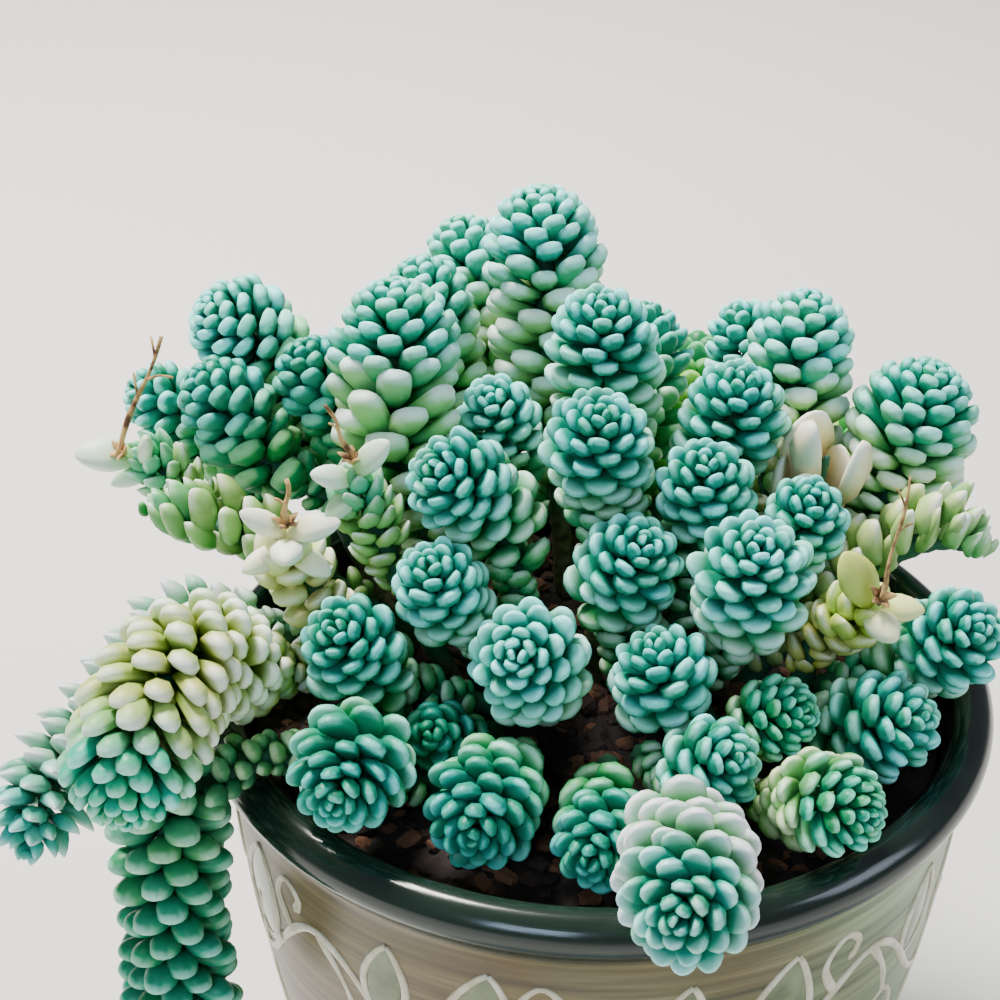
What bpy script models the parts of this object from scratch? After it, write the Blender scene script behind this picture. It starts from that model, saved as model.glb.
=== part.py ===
# A trailing sedum with short plump leaves, crowded in a round glazed pot of potting mix.
# Lengths are in millimetres until new_object turns them into metres. +X is the plant's right,
# -Y its front and +Z up. The origin is the centre of the pot's flat base.
import math

import bmesh
import bpy
import numpy as np
from mathutils import Vector
from mathutils.bvhtree import BVHTree
from mathutils.geometry import delaunay_2d_cdt

MM = 0.001

# The pot
POT_HEIGHT = 125.0
POT_SIDES = 40
BASE_RADIUS = 58.0
BASE_CHAMFER = 2.0
SWELL = [(66.5, 45.0), (73.0, 85.0)]
NECK_RADIUS = 75.5
NECK_DROP = 13.0
LIP_RADIUS = 80.0
LIP_HEIGHT = 9.0
WALL = 5.5
FLOOR = 7.0
DRAIN_RADIUS = 2.6
DRAIN_CIRCLE = 30.0
DRAINS = 5
DRAIN_SIDES = 8

# The potting mix
SOIL_LEVEL = 115.0
SOIL_RELIEF = 2.4
SOIL_POINTS = 60
CLEARANCE = 0.4
HOLE_DEPTH = 8.0
HOLE_RADIUS = 3.1

# The leafy stems
STALK_RADIUS = 2.2
STALK_ROOM = 2.9
ROOT_CIRCLE = 57.0
ROOT_INWARD = 0.72
STRAIGHT_HEAD = 30.0
LOWEST_NECK = 10.0
ROOT_ROOM = 3.7
SEAT_DEPTH = 7.2
STEP = 4.0
STEM_GAP = 0.5
LIP_CLEARANCE = 2.0
LEAF_COLUMNS = 5
LEAF_REACH = 6.6
LEAF_ROW = 7.1
DOME_LENGTH = 1.08
DOME_TURN = 24.5
DOME_START = 9.0
USUAL_GIRTH = 12.0
CORE_RADIUS = 4.6
STALK_SAG = 0.5
ROOT_BEND = 22.0
LEAF_FADE = 9.0
SHOULDER_PLACE = 0.68
SHOULDER_RISE = 0.9
SHOULDER_SPREAD = 0.84
LEAF_HALF_WIDTH = 4.3
LEAF_JITTER = 0.04
LEAF_FACES = 8
FIT_ROUNDS = 24
FIT_STEP = 0.92
SETTLE_ROUNDS = 240

# Each upright stem: tip place, azimuth and climb of its head in degrees, outer radius,
# leafy length and colour. Azimuth 0 is +X and 90 is +Y, the back.
HEADS = {
    "crest": ((-12, 62, 203), 180, 82, 13.0, 46, "teal"),
    "crest_left": ((-30, 86, 186), 150, 66, 10.5, 26, "teal"),
    "shoulder": ((-39, 61, 187), 175, 66, 9.5, 32, "teal"),
    "tower": ((-42, 31, 196), 190, 80, 13.5, 46, "teal"),
    "far_left": ((-83, 54, 180), 165, 50, 12.0, 40, "teal"),
    "tucked_left": ((-62, 38, 178), 180, 64, 9.0, 22, "teal"),
    "left_twin": ((-100, 55, 160), 190, 28, 10.0, 24, "teal"),
    "left_mate": ((-83, 37, 171), 215, 30, 10.5, 28, "teal"),
    "upper_mid": ((1, 30, 193), 270, 76, 12.5, 32, "teal"),
    "centre": ((0, 1, 183), 275, 70, 12.0, 30, "teal"),
    "nook": ((-25, 27, 173), 265, 62, 10.0, 22, "teal"),
    "mid_left": ((-33, -5, 174.5), 215, 76, 12.5, 30, "teal"),
    "right_twin": ((31, 62, 175), 185, 62, 9.5, 24, "teal"),
    "back_right": ((45, 45, 187), 20, 78, 11.5, 38, "teal"),
    "right_mid": ((29, 20, 181), 270, 74, 11.5, 30, "teal"),
    "right_top": ((69, 28, 179), 10, 72, 13.0, 40, "green"),
    "right_inner": ((20, -3, 175), 280, 68, 10.5, 26, "teal"),
    "right_small": ((41, -5, 168), 300, 62, 9.5, 22, "teal"),
    "mid_front": ((8, -15, 164), 265, 56, 12.0, 26, "teal"),
    "right_front": ((28, -25, 170), 280, 62, 12.5, 32, "teal"),
    "left_face": ((-33, -18, 161), 262, 40, 11.0, 24, "teal"),
    "left_low": ((-51, -25, 151), 232, 28, 12.0, 32, "teal"),
    "face": ((-17, -35, 152), 266, 38, 13.0, 26, "teal"),
    "front": ((9, -29, 150), 210, 45, 12.0, 30, "teal"),
    "edge_right": ((72, -23, 150), 320, 30, 11.5, 30, "teal"),
    "lip_right": ((60, -36, 138), 300, 22, 12.0, 30, "teal"),
    "low_right": ((38, -38, 141), 325, 40, 9.5, 22, "green"),
    "low_mid": ((26, -52, 140), 285, 30, 11.0, 28, "teal"),
    "lip_low": ((46, -66, 138), 325, 16, 9.5, 28, "green"),
    "over_lip": ((8, -106, 150), 250, 22, 12.8, 38, "teal"),
    "lip_front": ((-4, -68, 127), 245, 2, 9.5, 30, "teal"),
    "lip_mid": ((-25, -62, 129), 262, 4, 12.0, 32, "teal"),
    "shade": ((-37, -37, 130), 268, 40, 9.0, 16, "teal"),
    "lip_left": ((-49, -62, 138), 262, 24, 12.0, 34, "teal"),
    "pale_lower": ((-61, -4, 160), 255, 66, 9.5, 22, "cream"),
    "pale_upper": ((-48, 1, 171), 200, 68, 8.5, 24, "pale"),
    "pale_left": ((-97, 29, 158), 195, 34, 9.0, 22, "pale"),
    "pale_right": ((51, -21, 154), 265, 60, 9.5, 26, "pale"),
    "bleached": ((46, 9, 172), 300, 74, 8.5, 20, "cream"),
    "rear_left": ((-56, 82, 160), 125, 45, 11.5, 36, "teal"),
    "rear_mid": ((-10, 104, 163), 95, 42, 12.0, 36, "teal"),
    "rear_inner": ((14, 84, 166), 80, 60, 11.5, 34, "teal"),
    "rear_right": ((50, 84, 160), 60, 42, 12.0, 34, "teal"),
    "rear_far_right": ((78, 58, 150), 30, 30, 12.0, 34, "green"),
    "rear_low_left": ((-84, 84, 142), 140, 20, 11.5, 34, "teal"),
    "rear_low_mid": ((30, 112, 140), 75, 15, 11.5, 34, "green"),
}

# Each trailing stem: places along it from the soil to the tip, outer radius, leafy length
# and colour
TRAILS = {
    "trail_near": (((-43, 4), (-52, 0, 131), (-63, -12, 141), (-73, -38, 150), (-81, -53, 148),
                    (-85.5, -62, 145), (-85, -70, 140)), 13.0, 62, "pale"),
    "trail_mate": (((-50, 18), (-60, 14, 129), (-73, 5, 137), (-87, -5, 137), (-98, -15, 133),
                    (-104, -26, 127), (-107.5, -37, 119.5), (-109, -46, 112)), 11.0, 70, "pale"),
    "hanging": (((-38, -22), (-50, -31, 126), (-66, -42, 134), (-78, -50.5, 124), (-80.5, -49, 110),
                 (-81.5, -47, 95), (-82.5, -44, 78), (-84, -41, 61)), 12.0, 74, "green"),
    "left_spread": (((-46, 28), (-56, 24, 133), (-68, 19, 141), (-82, 19, 147), (-95, 20, 152)),
                    11.0, 40, "pale"),
    "right_spread": (((34, 6), (42, 4, 136), (54, 0, 149), (66, -1, 151), (80, -2, 149)),
                     11.0, 36, "pale"),
}

# Each dried flower stalk: the head that it stands on, its length, the azimuth and the climb
# that it leans to, and its radius
DRY_STALKS = {
    "dry_stalk_left": ("pale_left", 30.0, 60, 62, 0.9),
    "dry_stalk_upper": ("pale_upper", 11.0, 150, 60, 0.9),
    "dry_stalk_lower": ("pale_lower", 8.0, 80, 70, 0.9),
    "dry_stalk_right": ("pale_right", 24.0, 60, 66, 0.8),
}
DRY_SIDES = 5

COLOURS = {
    "teal": (0.16, 0.42, 0.36),
    "green": (0.24, 0.45, 0.27),
    "pale": (0.50, 0.60, 0.36),
    "cream": (0.80, 0.78, 0.56),
    "glaze": (0.22, 0.21, 0.12),
    "soil": (0.045, 0.028, 0.020),
    "twig": (0.30, 0.19, 0.10),
}
ROUGHNESS = {"glaze": 0.2, "soil": 0.9}


def clear_scene():
    for thing in list(bpy.data.objects):
        bpy.data.objects.remove(thing, do_unlink=True)


def colour_material(name):
    material = bpy.data.materials.get(name)
    if material is None:
        material = bpy.data.materials.new(name)
        material.use_nodes = True
        shader = material.node_tree.nodes["Principled BSDF"]
        shader.inputs["Base Color"].default_value = (*COLOURS[name], 1.0)
        shader.inputs["Roughness"].default_value = ROUGHNESS.get(name, 0.5)
        shader.inputs["Metallic"].default_value = 0.0
    return material


def new_object(name, points, faces, colour):
    """One named object from points in millimetres."""
    mesh = bpy.data.meshes.new(name)
    mesh.from_pydata((np.asarray(points) * MM).tolist(), [], faces)
    mesh.materials.append(colour_material(colour))
    thing = bpy.data.objects.new(name, mesh)
    bpy.context.scene.collection.objects.link(thing)
    return thing


def heading(azimuth, climb):
    a = math.radians(azimuth)
    c = math.radians(climb)
    return np.array([math.cos(a) * math.cos(c), math.sin(a) * math.cos(c), math.sin(c)])


# The pot


def arc(centre, radius, start, end, count):
    """Points of a round stretch of a profile, as radius and height, angles in degrees."""
    turn = np.radians(np.linspace(start, end, count))
    return np.stack([centre[0] + radius * np.cos(turn), centre[1] + radius * np.sin(turn)], 1)


def pot_profile():
    """The wall's closed outline, from the middle of the base out and up, over the lip and in."""
    neck = POT_HEIGHT - NECK_DROP
    roll = LIP_HEIGHT / 2
    lip = arc((LIP_RADIUS - roll, POT_HEIGHT - roll), roll, -65, 150, 7)
    outside = [(0, 0), (BASE_RADIUS - BASE_CHAMFER, 0), (BASE_RADIUS, BASE_CHAMFER), *SWELL,
               (NECK_RADIUS, neck)]
    inside = [(radius - WALL, height) for radius, height in SWELL[::-1]]
    inside = [(NECK_RADIUS - WALL, neck + BASE_CHAMFER), *inside, (BASE_RADIUS - WALL, FLOOR),
              (0, FLOOR)]
    return np.array(outside + lip.tolist() + inside, float)


def turned(profile, sides):
    """Turns a profile round Z. Its first and last points lie on the axis."""
    middle = profile[1:-1]
    count = len(middle)
    turn = 2 * np.pi * np.arange(sides) / sides
    ring = np.stack([np.cos(turn), np.sin(turn)], 1)
    body = np.zeros((sides, count, 3))
    body[:, :, :2] = middle[None, :, :1] * ring[:, None, :]
    body[:, :, 2] = middle[None, :, 1]
    points = np.vstack([body.reshape(-1, 3), [[0, 0, profile[0, 1]], [0, 0, profile[-1, 1]]]])
    first = sides * count
    faces = []
    for side in range(sides):
        here = side * count
        there = (side + 1) % sides * count
        faces.append((first, there, here))
        faces.append((first + 1, here + count - 1, there + count - 1))
        for k in range(count - 1):
            faces.append((here + k, there + k, there + k + 1, here + k + 1))
    return points, faces


def drain_cutter():
    """The drain holes as one mesh of round plugs, spaced evenly round the solid centre."""
    mesh = bmesh.new()
    for hole in range(DRAINS):
        turn = 2 * math.pi * (hole + 0.5) / DRAINS
        place = Vector((math.cos(turn) * DRAIN_CIRCLE, math.sin(turn) * DRAIN_CIRCLE, FLOOR / 2))
        made = bmesh.ops.create_cone(mesh, cap_ends=True, segments=DRAIN_SIDES,
                                     radius1=DRAIN_RADIUS * MM, radius2=DRAIN_RADIUS * MM,
                                     depth=2 * FLOOR * MM)
        bmesh.ops.translate(mesh, verts=made["verts"], vec=place * MM)
    data = bpy.data.meshes.new("drain_cutter")
    mesh.to_mesh(data)
    mesh.free()
    cutter = bpy.data.objects.new("drain_cutter", data)
    bpy.context.scene.collection.objects.link(cutter)
    cutter.hide_render = True
    cutter.display_type = "WIRE"
    return cutter


def add_pot():
    pot = new_object("pot", *turned(pot_profile(), POT_SIDES), "glaze")
    pot.data.shade_smooth()
    pot.data.set_sharp_from_angle(angle=math.radians(40))
    cut = pot.modifiers.new("drains", "BOOLEAN")
    cut.operation = "DIFFERENCE"
    cut.solver = "EXACT"
    cut.object = drain_cutter()


# The stems' centre lines


def resampled(points, step):
    lengths = np.linalg.norm(np.diff(points, axis=0), axis=1)
    along = np.concatenate([[0.0], np.cumsum(lengths)])
    count = max(4, int(round(along[-1] / step)))
    stops = np.linspace(0, along[-1], count + 1)
    return np.stack([np.interp(stops, along, points[:, axis]) for axis in range(3)], 1)


def curve_through(places, step):
    """A Catmull-Rom curve through the places, with a point every step."""
    ends = np.vstack([2 * places[0] - places[1], places, 2 * places[-1] - places[-2]])
    t = np.linspace(0, 1, 16, endpoint=False)[:, None]
    parts = []
    for a, b, c, d in zip(ends[:-3], ends[1:-2], ends[2:-1], ends[3:]):
        bend = 2 * b + (c - a) * t + (2 * a - 5 * b + 4 * c - d) * t**2
        parts.append(0.5 * (bend + (3 * b - a - 3 * c + d) * t**3))
    parts.append(places[-1:])
    return resampled(np.vstack(parts), step)


def head_route(tip, azimuth, climb, leafy):
    """From a root in the soil under the head, by a Bezier curve into the head's own line."""
    tip = np.array(tip, float)
    way = heading(azimuth, climb)
    neck = tip - way * min(leafy, STRAIGHT_HEAD)
    neck[2] = max(neck[2], SOIL_LEVEL + LOWEST_NECK)
    root = np.array([neck[0] * ROOT_INWARD, neck[1] * ROOT_INWARD, SOIL_LEVEL])
    out = math.hypot(root[0], root[1])
    root[:2] *= min(1.0, ROOT_CIRCLE / max(out, 1.0))
    rise = root + 0.15 * (neck - root)
    rise[2] = SOIL_LEVEL + max(6.0, 0.4 * (neck[2] - SOIL_LEVEL))
    lead = neck - way * 0.35 * np.linalg.norm(neck - root)
    lead[2] = max(lead[2], SOIL_LEVEL + 4)
    t = np.linspace(0, 1, 30)[:, None]
    climb_part = ((1 - t)**3 * root + 3 * (1 - t)**2 * t * rise
                  + 3 * (1 - t) * t**2 * lead + t**3 * neck)
    return resampled(np.vstack([climb_part, tip[None]]), STEP)


def girth_along(count, spacing, girth, leafy):
    """The room that a stem wants at each point, from its root to its tip."""
    back = (count - 1 - np.arange(count)) * spacing
    share = np.clip(back / (DOME_LENGTH * girth), 0, 1)
    wanted = girth * np.sqrt(1 - (1 - share)**2)
    fade = np.clip((back - leafy) / LEAF_FADE, 0, 1)
    wanted = wanted * (1 - fade) + STALK_ROOM * fade
    wanted[-1] = min(0.55 * girth, 6.0)
    wanted[:2] = np.maximum(wanted[:2], ROOT_ROOM)
    return np.maximum(wanted, STALK_ROOM)


def evened(share):
    """A share along a stem that changes slowly and is nowhere larger than the one given."""
    place = np.arange(len(share))
    slow = (share[None, :] + 0.10 * abs(place[:, None] - place[None, :])).min(1)
    padded = np.pad(slow, 1, mode="edge")
    return np.minimum(slow, (padded[:-2] + 2 * slow + padded[2:]) / 4)


def back_from_tip(points):
    """Distances back from the tip, from the tip's own zero to the root's."""
    steps = np.linalg.norm(np.diff(points[::-1], axis=0), axis=1)
    return np.concatenate([[0.0], np.cumsum(steps)])


class Bunch:
    """All the stems' centre points in one array, pushed apart until each has its room."""

    def __init__(self):
        self.names = list(HEADS) + list(TRAILS)
        routes = [head_route(t, a, c, leafy) for t, a, c, _, leafy, _ in HEADS.values()]
        self.girth = [row[3] for row in HEADS.values()]
        self.leafy = [row[4] for row in HEADS.values()]
        for places, girth, leafy, _ in TRAILS.values():
            root = (*places[0], SOIL_LEVEL)
            routes.append(curve_through(np.array([root, *places[1:]], float), STEP))
            self.girth.append(girth)
            self.leafy.append(leafy)
        self.counts = [len(route) for route in routes]
        self.starts = np.concatenate([[0], np.cumsum(self.counts)])
        self.owner = np.repeat(np.arange(len(routes)), self.counts)
        self.home = np.vstack(routes)
        self.points = self.home.copy()
        self.spacing = [np.linalg.norm(np.diff(r, axis=0), axis=1).mean() for r in routes]
        lengths = np.multiply(self.spacing, np.subtract(self.counts, 1))
        self.leafy = np.minimum(self.leafy, lengths - ROOT_BEND)
        rows = zip(self.counts, self.spacing, self.girth, self.leafy)
        self.room = np.concatenate([girth_along(*row) for row in rows])
        to_tip = np.concatenate([count - 1 - np.arange(count) for count in self.counts])
        self.from_root = np.concatenate([np.arange(count) for count in self.counts])
        self.hold = np.where(to_tip < 5, 0.06, 0.0)[:, None]

    def near_pairs(self, reach):
        first, second = np.triu_indices(len(self.points), 1)
        other = self.owner[first] != self.owner[second]
        first = first[other]
        second = second[other]
        away = np.linalg.norm(self.points[first] - self.points[second], axis=1)
        close = away < self.room[first] + self.room[second] + reach
        return first[close], second[close]

    def part_neighbours(self, first, second):
        """Each pair that lies too close moves apart by half of what it lacks."""
        apart = self.points[first] - self.points[second]
        away = np.linalg.norm(apart, axis=1) + 1e-9
        lack = np.clip(self.room[first] + self.room[second] + STEM_GAP - away, 0, None)
        push = apart * (lack / away)[:, None]
        size = len(self.points)
        hits = np.bincount(first[lack > 0], minlength=size)
        hits += np.bincount(second[lack > 0], minlength=size)
        for axis in range(3):
            total = np.bincount(first, push[:, axis], size)
            total -= np.bincount(second, push[:, axis], size)
            self.points[:, axis] += 0.5 * total / np.maximum(hits, 1)

    def smooth_stems(self):
        """Each stem evens out its bends and keeps its length."""
        for start, end, spacing in zip(self.starts[:-1], self.starts[1:], self.spacing):
            line = self.points[start:end]
            line[1:-1] += 0.5 * ((line[:-2] + line[2:]) / 2 - line[1:-1])
            for _ in range(2):
                run = np.diff(line, axis=0)
                length = np.linalg.norm(run, axis=1)[:, None] + 1e-9
                slip = run * (1 - spacing / length) * 0.25
                line[:-1] += slip
                line[1:] -= slip

    def keep_roots(self):
        roots = self.starts[:-1]
        self.points[roots, 2] = SOIL_LEVEL
        out = np.hypot(self.points[roots, 0], self.points[roots, 1])
        self.points[roots, :2] *= np.minimum(1, ROOT_CIRCLE / out)[:, None]
        lean = self.points[roots + 1, :2] - self.points[roots, :2]
        self.points[roots + 1, :2] = self.points[roots, :2] + 0.7 * lean
        self.points[roots + 1, 2] = np.maximum(self.points[roots + 1, 2], SOIL_LEVEL + 0.8 * STEP)

    def clear_pot(self):
        """Keeps every point above the soil, off the lip and on its own side of the wall."""
        out = np.hypot(self.points[:, 0], self.points[:, 1]) + 1e-9
        height = self.points[:, 2]
        roll = LIP_HEIGHT / 2
        lip_out = LIP_RADIUS - roll
        lip_up = POT_HEIGHT - roll
        low = (self.from_root > 1) & (out < lip_out - 2)
        floor = SOIL_LEVEL + self.room + 0.8
        height += np.where(low & (height < floor), 0.5 * (floor - height), 0)
        side = out - lip_out
        rise = height - lip_up
        away = np.hypot(side, rise) + 1e-9
        lack = np.clip(self.room + roll + LIP_CLEARANCE - away, 0, None)
        shift = side / away * lack
        height += rise / away * lack
        below = (height < lip_up) & (self.from_root > 0)
        outer = NECK_RADIUS + LIP_CLEARANCE + self.room
        inner = NECK_RADIUS - WALL - LIP_CLEARANCE - self.room
        new_out = out + shift
        new_out = np.where(below & (out >= lip_out), np.maximum(new_out, outer), new_out)
        new_out = np.where(below & (out < lip_out), np.minimum(new_out, inner), new_out)
        self.points[:, :2] *= (new_out / out)[:, None]

    def settle(self):
        for turn in range(SETTLE_ROUNDS):
            if turn % 15 == 0:
                first, second = self.near_pairs(8.0)
            self.part_neighbours(first, second)
            self.smooth_stems()
            self.points += self.hold * (self.home - self.points)
            self.keep_roots()
            self.clear_pot()

    def fitted_room(self):
        """Each point's room, cut back to its fair share of the space to its neighbours."""
        first, second = self.near_pairs(2.0)
        away = np.linalg.norm(self.points[first] - self.points[second], axis=1) - STEM_GAP
        share = self.room[first] / (self.room[first] + self.room[second])
        room = self.room.copy()
        np.minimum.at(room, first, away * share)
        np.minimum.at(room, second, away * (1 - share))
        return room

    def stems(self):
        """Each stem's name, points, share of its wanted room, outer radius and leafy length."""
        share = self.fitted_room() / self.room
        for k, name in enumerate(self.names):
            part = slice(self.starts[k], self.starts[k + 1])
            points = self.points[part]
            planned = self.spacing[k] * np.arange(len(points))
            leafy = np.interp(self.leafy[k], planned, back_from_tip(points))
            yield name, points, evened(share[part]), self.girth[k], leafy


class Line:
    """A stem's fine centre line, measured back from its tip, with a frame that doesn't twist."""

    def __init__(self, points, share, girth):
        ends = np.vstack([points[:1] - [0, 0, SEAT_DEPTH], points])
        fine = curve_through(ends, 1.0)
        self.places = fine
        lengths = np.linalg.norm(np.diff(fine, axis=0), axis=1)
        self.back = np.concatenate([np.cumsum(lengths[::-1])[::-1], [0.0]])
        way = np.gradient(fine, axis=0)
        way /= np.linalg.norm(way, axis=1)[:, None]
        way[0] = (0, 0, 1)
        across = np.zeros_like(fine)
        across[0] = (1, 0, 0)
        for k in range(1, len(fine)):
            flat = across[k - 1] - way[k] * (across[k - 1] @ way[k])
            across[k] = flat / np.linalg.norm(flat)
        self.across = across
        self.side = np.cross(way, across)
        self.share = share[::-1]
        stops = back_from_tip(points)
        self.share_stops = stops * (self.back[0] - SEAT_DEPTH) / stops[-1]
        self.girth = girth

    def share_at(self, back):
        """The part of its wanted radius that the stem has there."""
        return np.interp(back, self.share_stops, self.share)

    def at(self, back, radius, turn):
        """The place at a distance back from the tip, a radius from the line and a turn round it."""
        order = self.back[::-1]
        values = [np.interp(back, order, self.places[::-1, axis]) for axis in range(3)]
        across = [np.interp(back, order, self.across[::-1, axis]) for axis in range(3)]
        side = [np.interp(back, order, self.side[::-1, axis]) for axis in range(3)]
        return (np.array(values) + radius * math.cos(turn) * np.array(across)
                + radius * math.sin(turn) * np.array(side))


def leaf_rows(line, leafy):
    """Valley and apex of each row of leaves, from the tip down, as distance back and radius."""
    scale = line.girth / USUAL_GIRTH
    dome = DOME_LENGTH * line.girth
    rows = []
    angle = DOME_START
    apex = 0.0
    while apex < leafy - LEAF_REACH * scale:
        if angle < 90:
            apex = dome * (1 - math.cos(math.radians(angle)))
            wide = line.girth * math.sin(math.radians(angle))
        else:
            apex += LEAF_ROW
            wide = line.girth
        valley = apex + LEAF_REACH * scale
        core = scale * min(CORE_RADIUS, 1.6 + 0.42 * (valley / scale - 6.0))
        rows.append((valley, core * line.share_at(valley), apex, wide * line.share_at(apex)))
        angle += DOME_TURN
    return rows


def stalk_rings(line, start):
    """Distances back from the leaves' end to the soil and the stalk's foot, closer in a bend."""
    root = line.back[0] - SEAT_DEPTH
    stops = []
    here = start
    for there in np.arange(start + 3, root - 2, 1.0):
        run = np.array([line.at(back, 0, 0) for back in np.linspace(here, there, 6)])
        chord = run[-1] - run[0]
        sag = np.linalg.norm(np.cross(run - run[0], chord), axis=1).max() / np.linalg.norm(chord)
        if sag > STALK_SAG:
            stops.append(there - 1)
            here = there - 1
    return stops + [root, line.back[0]]


def leafy_skin(line, rows, fullness, rng):
    """Rings of valley points in a staggered net, a leaf on each cell, and the bare stalk."""
    scale = line.girth / USUAL_GIRTH
    columns = LEAF_COLUMNS
    half = math.pi / columns
    net = [(rows[0][0] - 1.4 * scale, 0.7 * rows[0][1])] + [(row[0], row[1]) for row in rows]
    points = [line.at(rows[0][0] - 2.6 * scale, 0, 0)]
    faces = []

    def ring(back, radius, shift):
        first = len(points)
        for column in range(columns):
            points.append(line.at(back, radius, 2 * half * column + shift * half))
        return first

    rings = [ring(back, radius, k % 2) for k, (back, radius) in enumerate(net)]

    def at_ring(k, column):
        return rings[k] + column % columns

    for k, (valley, core, apex, wide) in enumerate(rows):
        level = k + 1
        for column in range(columns):
            turn = 2 * half * column + level % 2 * half + rng.uniform(-LEAF_JITTER, LEAF_JITTER)
            full = fullness[k, column]
            rise = (wide * rng.uniform(0.95, 1.0) - core) * full
            middle = valley - SHOULDER_PLACE * (valley - apex)
            bulge = core + SHOULDER_RISE * rise
            spread = min(SHOULDER_SPREAD * half * full, LEAF_HALF_WIDTH * scale / bulge)
            first = len(points)
            points.append(line.at(middle, bulge, turn - spread))
            points.append(line.at(middle, bulge, turn + spread))
            points.append(line.at(apex, core + rise, turn))
            low, high, tip = first, first + 1, first + 2
            near = column if level % 2 == 0 else column + 1
            foot = at_ring(level, column)
            right = at_ring(level - 1, near - 1)
            left = at_ring(level - 1, near)
            top = 0 if level == 1 else at_ring(level - 2, column)
            faces += [(foot, high, low), (low, high, tip), (right, foot, low), (foot, left, high),
                      (right, low, top), (low, tip, top), (tip, high, top), (high, left, top)]
    last = len(rings) - 1
    tail = [ring(back, STALK_RADIUS, last % 2) for back in stalk_rings(line, rows[-1][0] + 6.0)]
    for column in range(columns):
        near = column if last % 2 == 0 else column + 1
        between = at_ring(last - 1, near - 1)
        faces.append((at_ring(last, column), between, at_ring(last, column - 1)))
    for upper, lower in zip([rings[last]] + tail[:-1], tail):
        for column in range(columns):
            after = (column + 1) % columns
            faces.append((upper + column, lower + column, lower + after, upper + after))
    faces.append([tail[-1] + column for column in reversed(range(columns))])
    return points, faces


def leaves_that_meet(points, faces):
    """The numbers of the leaves with a face that cuts one it shares no corner with."""
    tree = BVHTree.FromPolygons([Vector(point) for point in points], faces)
    met = set()
    for first, second in tree.overlap(tree):
        if not set(faces[first]) & set(faces[second]):
            met.add(first // LEAF_FACES)
    return met


def leafy_stem(name, line, leafy, colour):
    """One closed skin. Leaves that would cut each other in a bend are drawn in a little."""
    rows = leaf_rows(line, leafy)
    fullness = np.ones((len(rows), LEAF_COLUMNS))
    for _ in range(FIT_ROUNDS):
        rng = np.random.default_rng(sum(name.encode()))
        points, faces = leafy_skin(line, rows, fullness, rng)
        met = [leaf for leaf in leaves_that_meet(points, faces) if leaf < fullness.size]
        if not met:
            break
        fullness.flat[met] *= FIT_STEP
    return new_object(name, points, faces, colour)


# The potting mix


def wall_radius(height):
    """The inner wall's radius at a height below the lip."""
    profile = pot_profile()
    inner = profile[-len(SWELL) - 3:-1][::-1]
    return float(np.interp(height, inner[:, 1], inner[:, 0]))


def soil_height(places):
    """Low uneven waves, always a little below the soil level."""
    wave = (np.sin(places[:, 0] * 0.17 + 1.0) * np.cos(places[:, 1] * 0.14)
            + np.sin(places[:, 0] * 0.43 - places[:, 1] * 0.37))
    return SOIL_LEVEL - SOIL_RELIEF * (0.5 + 0.25 * wave)


def circle_of(centre, radius, sides):
    turn = 2 * np.pi * np.arange(sides) / sides
    return np.stack([centre[0] + radius * np.cos(turn), centre[1] + radius * np.sin(turn)], 1)


def spread_points(count, radius, holes, room):
    """Points in a sunflower spiral that keep their distance from the holes."""
    order = np.arange(count) + 0.5
    turn = order * math.radians(137.508)
    out = radius * np.sqrt(order / count)
    places = np.stack([out * np.cos(turn), out * np.sin(turn)], 1)
    away = np.linalg.norm(places[:, None] - holes[None], axis=2).min(1)
    return places[away > room]


def add_soil(roots):
    """A closed block that fills the pot, with a plain round hole for each stem."""
    edge = wall_radius(SOIL_LEVEL) - CLEARANCE
    outlines = [circle_of((0, 0), edge, POT_SIDES)]
    outlines += [circle_of(root, HOLE_RADIUS, LEAF_COLUMNS) for root in roots]
    loose = spread_points(SOIL_POINTS, edge - 4.0, roots, HOLE_RADIUS + 2.5)
    starts = np.concatenate([[0], np.cumsum([len(outline) for outline in outlines])])
    sides = [(int(start) + k, int(start) + (k + 1) % len(outline))
             for start, outline in zip(starts, outlines) for k in range(len(outline))]
    flat = np.vstack(outlines + [loose])
    found = delaunay_2d_cdt([Vector(place) for place in flat], sides, [], 0, 1e-5)
    kept = np.array([sources[0] for sources in found[3]])
    hole_of = np.repeat(np.arange(len(outlines)), [len(outline) for outline in outlines])
    hole_of = np.concatenate([hole_of, np.zeros(len(loose), int)])
    faces = []
    for face in found[2]:
        corners = [int(kept[k]) for k in face]
        owners = set(hole_of[corners])
        if len(owners) > 1 or 0 in owners:
            faces.append(corners)
    points = np.column_stack([flat, soil_height(flat)]).tolist()

    def ring_at(outline, height):
        first = len(points)
        points.extend([*place, height] for place in outline)
        return first

    for start, outline in zip(starts[1:], outlines[1:]):
        count = len(outline)
        foot = ring_at(outline, SOIL_LEVEL - HOLE_DEPTH)
        for k in range(count):
            after = (k + 1) % count
            faces.append((int(start) + k, int(start) + after, foot + after, foot + k))
        faces.append([foot + k for k in range(count)])
    above = 0
    for height in [height for _, height in SWELL[::-1]] + [FLOOR + CLEARANCE]:
        below = ring_at(circle_of((0, 0), wall_radius(height) - CLEARANCE, POT_SIDES), height)
        for k in range(POT_SIDES):
            after = (k + 1) % POT_SIDES
            faces.append((above + k, below + k, below + after, above + after))
        above = below
    faces.append([above + k for k in reversed(range(POT_SIDES))])
    return new_object("soil", points, faces, "soil")


# The dried flower stalks


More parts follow.
